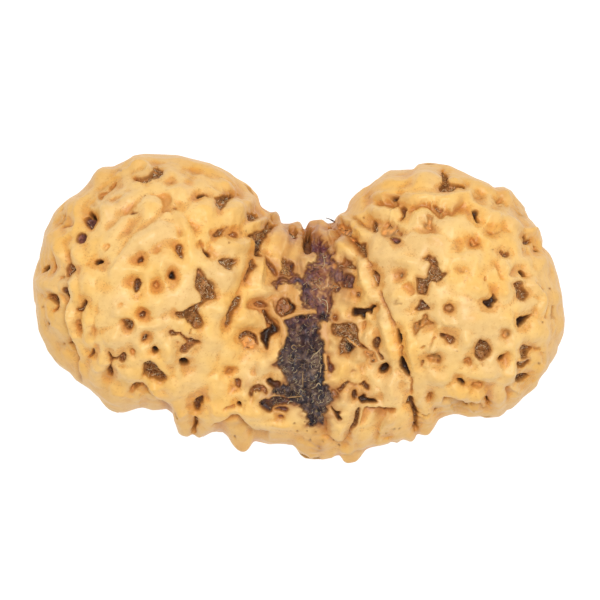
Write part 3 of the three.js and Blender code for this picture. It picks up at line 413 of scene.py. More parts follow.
# %% Openings: left lobe, outer part
OPENINGS += [
    ["dent", 0.4, -13.95, 4.5, -13.6, 4.7, -13.35, 4.6, -13.42, 4.2, -13.7, 3.98, -13.9, 4.2],
    ["black", 1.4, -14.5, 3.45, -14.3, 3.55, -14, 3.57, -13.85, 3.4, -14, 3.2, -14.3, 3.12, -14.5, 3.25],
    ["black", 1.2, -18.35, 2.85, -18.2, 2.95, -18, 3.15, -17.85, 3.2, -17.73, 3.05, -17.85, 2.8, -18, 2.65,
     -18.2, 2.55, -18.3, 2.7],
    ["tan", 0.45, -17.62, 2.52, -17.4, 2.55, -17.2, 2.85, -17.15, 3.3, -17.25, 3.45, -17.4, 3.1, -17.55,
     2.8],
    ["rust", 0.9, -16.4, 3.2, -16.1, 3.25, -15.9, 3.1, -15.85, 2.85, -16, 2.6, -16.2, 2.4, -16.4, 2.25,
     -16.55, 2.35, -16.5, 2.6, -16.6, 2.9, -16.5, 3.1],
    ["tan", 0.35, -17.02, 2.05, -16.95, 2.3, -16.65, 2.35, -16.6, 2.15, -16.8, 2.1],
    ["dark", 0.9, -16.9, 1.4, -16.6, 1.6, -16.4, 1.5, -16.25, 1.3, -16.18, 1.1, -16.25, 0.85, -16.35, 0.55,
     -16.5, 0.6, -16.75, 0.75, -16.85, 1],
    ["fibre", 1.1, -18.15, 0.75, -18, 0.95, -17.75, 1.05, -17.5, 0.95, -17.35, 0.75, -17.28, 0.5, -17.3, 0.1,
     -17.4, -0.2, -17.65, -0.35, -17.5, 0, -17.45, 0.25, -17.6, 0.4, -17.8, 0.55, -18.05, 0.65],
    ["dark", 1.0, -15.17, 0.7, -15.05, 0.55, -15.02, 0.35, -15.1, 0.1, -15.2, -0.2, -15.35, -0.3, -15.6,
     -0.2, -15.85, -0.13, -15.7, 0, -15.45, 0.05, -15.35, 0.3, -15.25, 0.5],
    ["tan", 0.7, -15.8, -0.85, -15.55, -0.75, -15.4, -0.8, -15.38, -1.3, -15.45, -1.55, -15.6, -1.65, -15.75,
     -1.4, -15.85, -1.1],
    ["tan", 0.4, -17.95, -1.1, -17.8, -1, -17.68, -1.1, -17.8, -1.25],
    ["tan", 0.35, -14.75, -1.65, -14.62, -1.7, -14.6, -1.95, -14.75, -1.95],
    ["dark", 0.8, -16.7, -2.7, -16.5, -2.55, -16.1, -2.45, -16.08, -2.6, -16.3, -2.72, -16.6, -2.76],
    ["tan", 0.4, -17.08, -2.62, -16.9, -2.6, -16.85, -2.8, -17.05, -2.8],
    ["dark", 0.8, -14.62, -2.85, -14.52, -3.1, -14.58, -3.35, -14.75, -3.55, -14.92, -3.67, -14.86, -3.42,
     -14.76, -3.15, -14.72, -2.9],
    ["rust", 1.0, -13.55, -3.05, -13.45, -3.15, -13.25, -3.4, -13.15, -3.55, -12.85, -3.55, -12.7, -3.35,
     -12.5, -3.15, -12.3, -3.2, -12.2, -3.35, -12.2, -3.6, -12.35, -3.85, -12.6, -3.98, -12.75, -3.85, -12.8,
     -3.7, -13.15, -3.7, -13.3, -3.9, -13.3, -4.2, -13.2, -4.4, -13.15, -4.65, -13.3, -4.85, -13.55, -4.8,
     -13.6, -4.5, -13.5, -4.2, -13.4, -3.9, -13.45, -3.6, -13.55, -3.35],
]

# %% Openings: left lobe, lower part
OPENINGS += [
    ["dark", 1.0, -11.2, -2.3, -11, -2.1, -10.85, -1.95, -10.65, -1.93, -10.7, -2.2, -10.8, -2.4, -11, -2.5,
     -11.15, -2.45],
    ["tan", 0.7, -11.95, -2.95, -11.75, -2.85, -11.55, -3, -11.5, -3.2, -11.6, -3.4, -11.8, -3.4, -11.93,
     -3.2],
    ["black", 1.3, -10.45, -2.95, -10.3, -2.78, -10.1, -2.77, -9.93, -2.9, -9.87, -3.1, -10, -3.3, -10.2,
     -3.38, -10.4, -3.25],
    ["fibre", 1.2, -11.1, -4, -10.9, -3.85, -10.6, -3.75, -10.3, -3.85, -10.1, -4.05, -9.9, -4.35, -9.6,
     -4.6, -9.45, -4.8, -9.35, -5, -9.5, -5.1, -9.7, -5.27, -9.9, -5.25, -10.1, -5.1, -10.3, -5, -10.6, -5,
     -10.8, -4.8, -10.95, -4.75, -11.1, -4.95, -11.1, -4.85, -10.98, -4.6, -10.98, -4.2],
    ["black", 1.6, -8.45, -4, -8.35, -3.75, -8.2, -3.6, -7.95, -3.62, -7.75, -3.8, -7.68, -4.05, -7.72, -4.2,
     -8, -4.25, -8.3, -4.2],
    ["rust", 0.9, -9.25, -1.7, -9.1, -1.6, -8.9, -1.55, -8.75, -1.7, -8.45, -1.68, -8.2, -1.8, -8.05, -2,
     -7.95, -2.15, -7.75, -2.2, -7.6, -2.05, -7.4, -2.15, -7.25, -2.25, -7.05, -2.2, -6.93, -2.35, -7, -2.55,
     -7.2, -2.6, -7.4, -2.7, -7.55, -2.9, -7.75, -3.05, -7.75, -3.2, -8, -3.23, -8.3, -3.28, -8.4, -3.1,
     -8.35, -2.8, -8.2, -2.6, -8, -2.6, -7.88, -2.42, -8, -2.25, -8.2, -2.1, -8.45, -1.9, -8.8, -1.95, -9.1,
     -2],
    ["tan", 0.5, -8.65, -2.35, -8.45, -2.35, -8.4, -2.55, -8.55, -2.6],
    ["tan", 0.3, -9.05, -4.2, -8.93, -4.25, -8.97, -4.45, -9.07, -4.4],
    ["tan", 0.6, -12.02, -6.1, -12, -5.85, -11.8, -5.6, -11.5, -5.4, -11.2, -5.35, -11, -5.38, -10.92, -5.65,
     -11, -5.98, -11.3, -5.9, -11.65, -6, -11.9, -6.15],
    ["dark", 1.1, -7.45, -6.7, -7.3, -6.5, -7, -6.3, -6.8, -6.3, -6.75, -6.5, -6.85, -6.8, -7, -7, -7.15,
     -7.25, -7.35, -7.45, -7.5, -7.25, -7.55, -7],
]

# %% Openings: the core, left of the scar
OPENINGS += [
    ["black", 1.3, -2.85, -1.8, -2.6, -1.6, -2.35, -1.4, -2.1, -1.35, -2.08, -1.05, -1.85, -1, -1.7, -1.2,
     -1.5, -1.4, -1.6, -1.65, -1.9, -1.75, -2.05, -2, -2.1, -2.3, -2.1, -2.6, -2.15, -2.95, -2.3, -2.95,
     -2.45, -2.8, -2.55, -2.5, -2.75, -2.3, -2.8, -2],
    ["orange", 0.3, -4.3, -2.2, -4.2, -1.75, -3.8, -1.6, -3.4, -1.7, -3.05, -2, -2.92, -2.5, -3.15, -2.85,
     -3.57, -2.97, -3.9, -2.75, -4.2, -2.4],
    ["rust", 0.8, -4.3, -2.2, -4.15, -1.75, -3.75, -1.55, -3.3, -1.65, -2.95, -2, -2.85, -2.5, -3, -2.65,
     -3.15, -2.3, -3.5, -2.05, -3.85, -2.05, -4, -2.3],
    ["tan", 0.5, -5.3, -4.65, -5, -4.45, -4.85, -4.38, -4.6, -4.5, -4.75, -4.65, -5, -4.8, -5.2, -4.75],
    ["rust", 1.0, -4.62, -5.25, -4.5, -5.05, -4.3, -5, -4.15, -5.05, -4.1, -5.3, -4.15, -5.6, -4.25, -5.72,
     -4.45, -5.6, -4.6, -5.45],
    ["rust", 0.7, -3.65, -6.1, -3.5, -5.85, -3.4, -5.6, -3.1, -5.45, -2.9, -5.4, -2.6, -5.45, -2.4, -5.55,
     -2.25, -5.8, -2.25, -6.1, -2.35, -6.2, -2.6, -6, -2.9, -5.95, -3.2, -5.95, -3.3, -6.2, -3.45, -6.4,
     -3.55, -6.25],
    ["black", 1.3, -2.4, -5.1, -2.1, -4.9, -1.85, -5.05, -1.75, -5.15, -1.55, -5.1, -1.4, -5.2, -1.35, -5.45,
     -1.5, -5.75, -1.8, -5.8, -2, -5.55, -2.2, -5.35],
    ["black", 1.4, -4.55, -6.98, -4.45, -6.8, -4.3, -6.65, -4.15, -6.75, -4.1, -6.95, -4.2, -7, -4.4, -7],
    ["blue", 1.2, -2.8, -6.9, -2.75, -6.6, -2.6, -6.5, -2.4, -6.4, -2.2, -6.5, -2, -6.4, -1.6, -6.3, -0.9,
     -6.4, -0.5, -6.6, -0.6, -6.85, -1.3, -6.95, -1.85, -7, -1.95, -7.35, -2.1, -7.45, -2.3, -7.3, -2.6,
     -7.15, -2.8, -7],
    ["purple", 0.6, -1.85, -7.1, -1.3, -7, -0.85, -7, -0.8, -7.35, -1.2, -7.45, -1.5, -7.35],
    ["purple", 0.5, -1.55, -7.7, -1.2, -7.65, -1.05, -7.8, -1.3, -7.95, -1.55, -7.9],
]

# %% Openings: the core, right of the scar
OPENINGS += [
    ["purple", 1.0, 1.85, -3.4, 2.1, -3.35, 2.15, -3.7, 2.45, -4.1, 2.48, -4.4, 2.35, -4.6, 2.1, -4.5, 1.95,
     -4.1, 1.9, -3.8],
    ["fibre", 1.0, 2.28, -0.95, 2.55, -1.05, 2.9, -1.1, 3.3, -1.05, 3.7, -1, 4, -1.2, 4.1, -1.5, 4.05, -1.9,
     4.2, -2.45, 4.5, -2.6, 4.72, -2.8, 4.9, -2.97, 4.65, -2.97, 4.3, -2.77, 4, -2.75, 3.75, -2.85, 3.6, -3,
     3.5, -3.25, 3.3, -3.12, 3.05, -3.17, 2.85, -3.3, 2.92, -3, 2.78, -2.75, 2.85, -2.4, 3.05, -2.15, 2.95,
     -2, 2.4, -1.95, 2.3, -1.5],
    ["black", 1.4, 3.2, -2.5, 3.45, -2.35, 3.75, -2.45, 3.85, -2.8, 3.65, -3.05, 3.35, -3.05, 3.15, -2.8],
    ["orange", 0.45, 4.5, -3, 5, -3, 5.35, -3.1, 5.45, -3.5, 5.55, -3.72, 5.4, -3.9, 5.1, -3.95, 5, -3.8,
     5.05, -3.62, 4.7, -3.5, 4.55, -3.2],
    ["black", 0.9, 5.02, -3.85, 5.1, -3.68, 5.3, -3.6, 5.35, -3.75, 5.2, -3.9],
    ["dark", 1.1, 5.2, -2.12, 5.45, -1.97, 5.64, -2.1, 5.68, -2.35, 5.6, -2.6, 5.5, -2.95, 5.6, -3.15, 5.9,
     -3.45, 5.86, -3.7, 5.7, -3.66, 5.52, -3.3, 5.37, -2.9, 5.15, -2.8, 5.1, -2.4],
    ["black", 1.4, 5.6, -4.3, 5.7, -4.1, 5.9, -3.98, 6.13, -3.95, 6.28, -4.2, 6.23, -4.5, 6, -4.67, 5.76,
     -4.68, 5.6, -4.5],
    ["tan", 0.25, 3.7, -4.3, 3.9, -4.35, 3.95, -4.55, 3.8, -4.5, 3.6, -4.65, 3.5, -4.6],
    ["tan", 0.25, 4.25, -4.1, 4.36, -4.05, 4.42, -4.4, 4.32, -4.4],
    ["dark", 0.9, 2.65, -5.75, 2.85, -5.62, 3.1, -5.45, 3.3, -5.25, 3.45, -5.1, 3.6, -5.3, 3.42, -5.5, 3.22,
     -5.75, 3, -5.95, 2.8, -5.95, 2.7, -5.86],
    ["dark", 1.1, 4.1, -5.45, 4.4, -5.35, 4.5, -5.15, 4.65, -5.12, 4.77, -5.35, 4.95, -5.4, 5.02, -5.65,
     4.95, -5.9, 4.8, -5.86, 4.6, -5.7, 4.5, -5.56, 4.3, -5.5],
    ["black", 1.3, 4.5, -6.2, 4.75, -6.1, 4.72, -6.35, 5, -6.4, 5.4, -6.45, 5.57, -6.76, 5.3, -6.8, 4.95,
     -6.75, 4.75, -6.75, 4.5, -6.85, 4.3, -6.7, 4.15, -6.5, 4.15, -6.35, 4.35, -6.3],
    ["dark", 1.2, 3.75, -5.95, 3.9, -5.8, 4.05, -5.8, 4.14, -6, 4.1, -6.3, 4, -6.5, 3.85, -6.55, 3.75, -6.35,
     3.7, -6.15],
    ["black", 1.2, 2.2, -6.95, 2.45, -7.1, 2.6, -7.25, 2.92, -7.25, 2.95, -7.4, 2.82, -7.5, 2.97, -7.75, 3.1,
     -7.92, 2.9, -8, 2.7, -7.9, 2.6, -7.65, 2.5, -7.4, 2.3, -7.2],
    ["rust", 0.5, 2.2, -5.75, 2.6, -5.75, 2.8, -6.05, 2.75, -6.25, 2.5, -6.4, 2.25, -6.4],
]

# %% Openings: the long groove between the core and the right lobe
OPENINGS += [
    ["black", 1.3, 6.75, -1.4, 6.86, -1.4, 6.97, -1.6, 7.02, -1.76, 7.12, -1.86, 7.16, -2.1, 7.13, -2.4, 7.1,
     -2.6, 6.95, -2.58, 6.85, -2.4, 6.8, -2, 6.8, -1.8],
    ["black", 1.2, 7.1, -3.5, 7.25, -3.45, 7.36, -3.6, 7.46, -3.9, 7.6, -4.1, 7.7, -4.4, 7.8, -4.75, 7.85,
     -4.97, 7.7, -4.95, 7.5, -4.8, 7.35, -4.6, 7.1, -4.4, 6.98, -4.2, 7, -3.9, 7.05, -3.7],
    ["dark", 1.2, 7.85, -6.25, 8, -6.35, 8.05, -6.6, 8.16, -6.9, 8.3, -7.1, 8.46, -7.4, 8.5, -7.56, 8.36,
     -7.66, 8.45, -8.1, 8.48, -8.8, 8.3, -8.85, 8.15, -8.1, 8.05, -7.7, 8, -7.3, 7.9, -7, 7.75, -6.85, 7.6,
     -6.86, 7.66, -6.55, 7.76, -6.35],
]

# %% Openings: right lobe, lower part
OPENINGS += [
    ["rust", 0.9, 9.85, -1.75, 10.1, -1.75, 10.4, -1.85, 10.7, -1.95, 10.9, -2.1, 11, -2.35, 10.85, -2.55,
     10.6, -2.65, 10.4, -2.5, 10.25, -2.25, 10.1, -2.15, 9.8, -2.05],
    ["tan", 0.45, 9.05, -3.3, 9.3, -3.35, 9.55, -3.3, 9.9, -3.4, 10, -3.65, 9.95, -3.88, 9.8, -4, 9.55,
     -3.97, 9.3, -3.92, 9, -3.75, 8.85, -3.55],
    ["dark", 0.7, 9.6, -3.75, 9.85, -3.75, 9.9, -3.9, 9.75, -4, 9.6, -3.95],
    ["dark", 0.7, 8.55, -3.7, 8.75, -3.7, 8.76, -3.95, 8.62, -4.1, 8.52, -4.26, 8.43, -4.2, 8.5, -4],
    ["tan", 0.6, 11.6, -3.6, 11.9, -3.55, 12.15, -3.7, 12.25, -3.95, 12.1, -4.15, 11.9, -4.12, 11.85, -3.95,
     11.6, -4.05, 11.55, -3.8],
    ["black", 1.0, 11, -5, 11.3, -4.97, 11.5, -5.05, 11.7, -5.2, 11.74, -5.35, 11.6, -5.42, 11.4, -5.35,
     11.2, -5.2],
    ["tan", 0.6, 9.02, -6.3, 9.15, -6.1, 9.33, -6.15, 9.37, -6.5, 9.3, -6.76, 9.15, -6.8, 9.04, -6.66],
    ["black", 1.1, 11.55, -6.7, 11.7, -6.7, 11.9, -6.95, 11.86, -7.07, 11.65, -7, 11.52, -6.86],
    ["dark", 0.6, 9.5, -7.45, 9.55, -7.25, 9.8, -7.15, 9.72, -7.35, 9.6, -7.5],
    ["tan", 0.35, 14.4, -2.1, 14.4, -1.75, 14.55, -1.45, 14.8, -1.5, 14.9, -1.8, 14.8, -2.1, 14.65, -2.25],
    ["fibre", 1.1, 12.7, -2.25, 13, -2.25, 13.3, -2.45, 13.5, -2.7, 13.6, -3, 13.5, -3.3, 13.3, -3.5, 13.1,
     -3.7, 12.85, -3.85, 12.6, -3.76, 12.4, -3.56, 12.35, -3.3, 12.42, -3, 12.42, -2.8, 12.55, -2.5],
    ["black", 1.2, 14.1, -3.87, 14.22, -3.6, 14.4, -3.4, 14.6, -3.3, 14.62, -3.6, 14.5, -3.86, 14.3, -3.93],
    ["fibre", 1.1, 15.7, -2.65, 16, -2.63, 16.3, -2.7, 16.6, -2.85, 16.4, -2.95, 16.25, -3.05, 16.15, -3.3,
     16.12, -3.5, 16.36, -3.8, 16.3, -3.95, 16.05, -4.05, 15.95, -4.2, 15.6, -4.3, 15.36, -4.32, 15.27,
     -4.15, 15.35, -3.9, 15.55, -3.75, 15.66, -3.64, 15.68, -3.4, 15.6, -3.15, 15.57, -2.9],
    ["dark", 1.1, 15.4, -4.85, 15.6, -4.72, 16, -4.7, 16.3, -4.8, 16.4, -4.92, 16.2, -5.1, 16, -5.25, 15.7,
     -5.3, 15.4, -5.28, 15.3, -5.2, 15.33, -5],
    ["black", 1.2, 13.1, -6.2, 13.26, -6.18, 13.36, -6.5, 13.5, -7, 13.44, -7.07, 13.3, -6.8, 13.15, -6.5],
    ["tan", 0.6, 12, -5.38, 12.5, -5.28, 12.9, -5.32, 13, -5.6, 12.8, -5.7, 12.4, -5.66, 12.1, -5.52],
]

# %% Openings: left lobe, upper part
OPENINGS += [
    ["black", 1.5, -15.05, 7, -14.8, 7.06, -14.6, 6.9, -14.45, 6.6, -14.48, 6.42, -14.72, 6.52, -14.95,
     6.72],
    ["purple", 0.9, -15.05, 6.8, -14.46, 6.6, -14.48, 6.3, -14.6, 6, -14.75, 5.7, -14.95, 5.7, -15.1, 5.95,
     -15.28, 6.2, -15.33, 6.5],
    ["purple", 1.0, -15.9, 5.15, -15.75, 5.4, -15.5, 5.5, -15.25, 5.45, -15.1, 5.2, -15.1, 4.95, -15.25, 4.7,
     -15.5, 4.62, -15.75, 4.75, -15.92, 4.95],
    ["tan", 0.4, -17.17, 5.98, -16.95, 6.02, -16.72, 6.3, -16.62, 6.55, -16.63, 6.85, -16.78, 6.5, -16.95,
     6.2],
    ["tan", 0.7, -14.35, 8.15, -14.25, 7.9, -14.1, 7.82, -13.9, 7.95, -13.75, 8.2, -13.55, 8.35, -13.3, 8.55,
     -13.1, 8.75, -12.95, 8.95, -12.95, 9.1, -13.1, 9.15, -13.3, 8.95, -13.5, 8.7, -13.8, 8.45, -14.1, 8.4],
    ["tan", 0.3, -12.9, 7.5, -12.7, 7.56, -12.68, 7.48, -12.82, 7.38],
    ["tan", 0.25, -14.63, 7.5, -14.5, 7.5, -14.55, 7.35, -14.65, 7.4],
]

# %% Openings: left lobe, top
OPENINGS += [
    ["fibre", 0.8, -11.7, 9.45, -11.4, 9.46, -11.1, 9.5, -10.9, 9.6, -10.75, 9.6, -10.6, 9.75, -10.45, 9.8,
     -10.35, 10.1, -10.2, 10.22, -10.05, 10.2, -9.9, 10.05, -9.7, 10, -9.55, 9.9, -9.65, 9.7, -9.75, 9.5,
     -9.95, 9.4, -10.1, 9.35, -10.25, 9.27, -10.4, 9.3, -10.5, 9.15, -10.7, 9.05, -10.95, 9, -11.2, 9.05,
     -11.5, 9.15, -11.7, 9.25],
    ["rust", 0.3, -9.15, 9.2, -9, 9.18, -9, 9, -9.1, 9],
    ["dent", 0.4, -10.6, 8.1, -10, 8.2, -9.5, 8.3, -9.1, 8.1, -8.9, 7.6, -8.65, 7.28, -8.6, 7.15, -9.1, 7.1,
     -9.4, 7.02, -9.65, 6.88, -9.72, 7.05, -9.62, 7.3, -9.65, 7.65, -9.8, 7.85, -10, 8, -10.3, 8],
    ["black", 0.9, -8.95, 7.12, -8.65, 7.1, -8.57, 7.2, -8.7, 7.3, -8.95, 7.22],
    ["dark", 0.7, -12, 6.9, -11.85, 7, -11.6, 6.95, -11.35, 6.88, -11.6, 6.8, -11.8, 6.72, -11.95, 6.8],
    ["black", 1.1, -7.3, 8, -7.1, 8.12, -6.8, 8.25, -6.5, 8.27, -6.35, 8.12, -6.6, 8.02, -7, 7.9, -7.2, 7.9],
    ["tan", 0.3, -7.75, 5.85, -7.65, 5.85, -7.62, 5.72, -7.72, 5.7],
    ["tan", 0.4, -7.43, 5.7, -7.3, 5.7, -7.2, 5.6, -7.35, 5.52],
    ["grey", 0.2, -8.5, 5.5, -8.38, 5.5, -8.36, 5.2, -8.5, 5.2],
    ["tan", 0.25, -8.15, 9.7, -8.05, 9.7, -8.05, 9.6, -8.15, 9.6],
    ["tan", 0.2, -7.6, 9.72, -7.35, 9.7, -7.4, 9.6, -7.6, 9.62],
    ["tan", 0.2, -7.8, 9.36, -7.65, 9.33, -7.7, 9.22, -7.82, 9.25],
    ["rust", 0.8, -3.75, 6.75, -3.45, 6.8, -3.2, 6.86, -2.9, 6.85, -2.8, 6.7, -2.95, 6.5, -3.15, 6.35, -3.4,
     6.25, -3.6, 6.35, -3.7, 6.55],
    ["fibre", 0.7, -5.8, 5.6, -5.65, 5.7, -5.45, 5.7, -5.2, 5.72, -5.05, 5.8, -5.1, 5.65, -5.3, 5.5, -5.35,
     5.25, -5.5, 5.2, -5.8, 5.05, -6, 5.1, -6.1, 5.3, -5.95, 5.45],
    ["rust", 0.7, -5, 5.33, -4.8, 5.4, -4.6, 5.5, -4.35, 5.5, -4.25, 5.3, -4.3, 5.1, -4.5, 5.08, -4.7, 5.12,
     -4.85, 5.22],
    ["fibre", 1.1, -6.05, 7.95, -5.8, 8, -5.5, 8.05, -5.35, 8.15, -5, 8.15, -4.7, 8.15, -4.6, 8.05, -4.8,
     7.85, -5, 7.65, -5.15, 7.5, -5.3, 7.3, -5.5, 7.05, -5.6, 6.95, -5.65, 7.1, -5.8, 7.3, -5.9, 7.5, -5.75,
     7.65, -5.85, 7.85],
    ["tan", 0.35, -4.4, 8.22, -4.25, 8.22, -4.22, 8.1, -4.38, 8.08],
]

# %% Openings: the groove between the left lobe and the core, upper end
OPENINGS += [
    ["fibre", 1.2, -2.25, 6.3, -2.08, 6.4, -2, 6.2, -1.9, 6.05, -1.7, 6.13, -1.55, 6.03, -1.68, 5.93, -1.9,
     5.7, -2.1, 5.5, -2.3, 5.2, -2.45, 4.95, -2.6, 4.6, -2.7, 4.2, -2.75, 4, -3.1, 4, -3.15, 4.3, -3.1, 4.6,
     -3.1, 4.9, -3.2, 5, -3.4, 5.05, -3.55, 5.15, -3.6, 5.3, -3.2, 5.45, -2.9, 5.6, -2.6, 5.6, -2.4, 5.75,
     -2.3, 6],
    ["dark", 0.8, -1.97, 6.85, -1.83, 6.8, -1.78, 6.55, -1.85, 6.45, -1.93, 6.55],
]

# %% Openings: the notch
OPENINGS += [
    ["fibre", 0.9, -0.75, 5.95, -0.6, 5.97, -0.3, 5.93, -0.2, 5.8, -0.1, 5.5, -0.15, 5.2, -0.3, 5, -0.5,
     4.98, -0.65, 5.2, -0.7, 5.6],
    ["black", 1.8, 0.27, 5.75, 0.36, 5.4, 0.5, 5.3, 0.56, 6.1, 0.8, 5.9, 0.85, 5.5, 0.88, 5, 0.9, 4.5, 0.95,
     4, 0.5, 3.96, 0.33, 4.15, 0.26, 4.6, 0.28, 5.2],
    ["dark", 0.9, 1.98, 6.02, 2.15, 6.02, 2.12, 5.86, 1.98, 5.86],
    ["tan", 0.6, 2.3, 5.86, 2.52, 5.75, 2.68, 5.45, 2.82, 5.2, 2.8, 5, 2.6, 4.85, 2.4, 4.6, 2.36, 4.7, 2.5,
     4.95, 2.6, 5.1, 2.56, 5.4, 2.45, 5.65],
    ["orange", 0.7, 2.5, 6.12, 2.75, 6.1, 3, 6.12, 3.3, 5.95, 3.55, 5.85, 3.66, 5.6, 3.6, 5.3, 3.7, 5.12,
     3.9, 5.1, 4, 4.9, 3.8, 4.75, 3.4, 5.1, 3.15, 5.28, 2.9, 5.45, 2.7, 5.75],
]

# %% Openings: right lobe, top
OPENINGS += [
    ["fibre", 1.0, 5.1, 6.3, 5.3, 6.32, 5.43, 6.15, 5.39, 5.95, 5.47, 5.75, 5.5, 5.5, 5.4, 5.4, 5.25, 5.5,
     5.1, 5.7, 5, 5.95, 5.12, 6.1],
    ["dark", 0.35, 4.85, 8.06, 5.02, 8.06, 5.02, 7.95, 4.85, 7.95],
    ["fibre", 1.0, 10.1, 10.05, 10.2, 10.05, 10.25, 9.85, 10.5, 9.7, 10.5, 9.3, 10.6, 9.05, 10.8, 9, 11.3,
     8.95, 11.6, 8.9, 11.78, 8.75, 11.7, 8.6, 11.4, 8.65, 11.1, 8.65, 10.95, 8.5, 10.8, 8.4, 10.4, 8.4, 10.1,
     8.42, 9.9, 8.45, 9.72, 8.6, 9.9, 8.8, 10.05, 8.9, 10.1, 9.1, 10.05, 9.4, 10.14, 9.7],
    ["black", 1.0, 6.5, 7.66, 6.65, 7.82, 6.95, 7.9, 7.1, 7.85, 6.98, 7.65, 6.8, 7.58],
    ["dark", 1.0, 7.1, 7.28, 7.3, 7.36, 7.66, 7.17, 7.5, 6.95, 7.42, 6.6, 7.2, 6.4, 6.98, 6.2, 7.13, 6.5,
     7.22, 6.8, 7.18, 7],
    ["rust", 0.9, 9.4, 7.36, 9.65, 7.34, 9.8, 7.2, 10.1, 7.2, 10.18, 7.05, 10, 6.87, 9.85, 6.75, 9.74, 6.9,
     9.6, 7.1],
    ["tan", 0.4, 8.9, 6.62, 9.3, 6.6, 9.5, 6.7, 9.4, 6.4, 9.3, 6.1, 9.35, 5.8, 9.15, 5.65, 8.85, 5.7, 8.65,
     5.85, 8.75, 6.1, 9, 6.15],
    ["orange", 0.35, 5.7, 5.5, 5.9, 5.9, 6.2, 6.25, 6.6, 6, 6.75, 5.95, 6.85, 5.62, 7.1, 5.56, 7.16, 5.3,
     7.1, 5.05, 6.8, 5.15, 6.4, 5.1, 6, 5.05, 5.75, 5.2],
    ["dark", 0.8, 6.72, 5.97, 6.85, 5.9, 6.9, 5.62, 7.1, 5.5, 7.18, 5.3, 7.05, 5.3, 6.95, 5.5, 6.78, 5.6],
    ["purple", 0.8, 6.3, 5.06, 6.5, 5.15, 6.8, 5.1, 7.05, 4.97, 7.1, 4.75, 6.95, 4.62, 6.7, 4.6, 6.5, 4.75,
     6.4, 4.95],
    ["tan", 0.25, 10.98, 4.5, 11.12, 4.5, 11.14, 4.3, 11, 4.28],
    ["tan", 0.15, 11.05, 2.8, 11.3, 2.85, 11.7, 2.6, 11.65, 2.5, 11.35, 2.62],
    ["tan", 0.3, 12.45, 8.03, 12.7, 8.05, 13, 8, 13, 7.76, 12.7, 7.76, 12.5, 7.85],
    ["tan", 0.5, 14.15, 8, 14.35, 7.95, 14.4, 7.8, 14.3, 7.6, 14, 7.6, 13.9, 7.75, 14.1, 7.85],
    ["tan", 0.3, 14, 7.42, 14.5, 7.43, 14.4, 7.32, 14.1, 7.32],
    ["black", 1.0, 12.3, 7.1, 12.45, 7.16, 12.66, 7.15, 12.68, 6.9, 12.62, 6.65, 12.65, 6.45, 12.75, 6.25,
     12.6, 6.15, 12.45, 6.35, 12.35, 6.6, 12.3, 6.85],
    ["tan", 0.3, 13.25, 5.7, 13.3, 5.45, 13.5, 5.28, 13.8, 5.28, 14.1, 5.38, 14.38, 5.6, 14.4, 5.72, 14.1,
     5.52, 13.8, 5.42, 13.5, 5.45, 13.35, 5.6],
    ["tan", 0.25, 15.25, 7.22, 15.4, 7.15, 15.7, 6.9, 16.02, 6.68, 15.95, 6.65, 15.6, 6.85, 15.4, 7],
    ["purple", 1.0, 15.85, 5.1, 15.95, 5.3, 16.05, 5.25, 16.1, 5.05, 16.3, 4.95, 16.5, 4.85, 16.4, 4.72,
     16.2, 4.58, 16.05, 4.6, 15.9, 4.7, 15.87, 4.9],
    ["tan", 0.6, 12.05, 4.95, 12.2, 5.2, 12.35, 5.1, 12.5, 4.8, 12.8, 4.6, 12.5, 4.5, 12.1, 4.52, 12.03,
     4.7],
    ["fibre", 1.0, -7.5, -7.9, -7.35, -7.75, -7.25, -7.95, -7.2, -8.2, -7.3, -8.45, -7.4, -8.7, -7.45, -9,
     -7.7, -8.95, -7.75, -8.85, -7.65, -8.6, -7.52, -8.4, -7.5, -8.1],
    ["rust", 0.7, -4.95, -7.87, -4.8, -7.7, -4.5, -7.65, -4.25, -7.75, -4, -8.05, -3.8, -8.28, -4.1, -8.2,
     -4.5, -8, -4.8, -7.95],
    ["dark", 1.2, 4.32, -7.05, 4.13, -7.12, 3.95, -7.5, 3.9, -8, 3.65, -8.35, 3.55, -8.5, 3.5, -8.9, 3.45,
     -9.1, 3.55, -9.1, 3.62, -8.8, 3.8, -8.6, 4, -8.5, 4.15, -8.2, 4.25, -7.8, 4.35, -7.4],
    ["dark", 0.8, 1.84, -7.8, 1.94, -7.8, 1.97, -8.4, 1.97, -8.85, 1.9, -9, 1.86, -8.5],
    ["dark", 0.7, 6.05, -7.1, 6.42, -7.12, 6.36, -7.3, 6.25, -7.5, 6.1, -7.35],
    ["dark", 1.1, 8.1, -8.15, 8.4, -8.12, 8.47, -8.6, 8.53, -8.8, 8.3, -8.92, 8.15, -8.6],
    ["tan", 0.3, 1.25, -9.6, 1.35, -9.6, 1.47, -9.85, 1.4, -9.9],
    ["tan", 0.2, 6.1, -8.88, 6.3, -8.88, 6.28, -9.08, 6.15, -9.08],
]

# %% [markdown]
# The net isn't even. Some plates grew over others and end in a ledge, and some are parted by a crease or
# crossed by a ridge. Each is a line on the real seed, so each is a row of points here, with its height and
# its width.

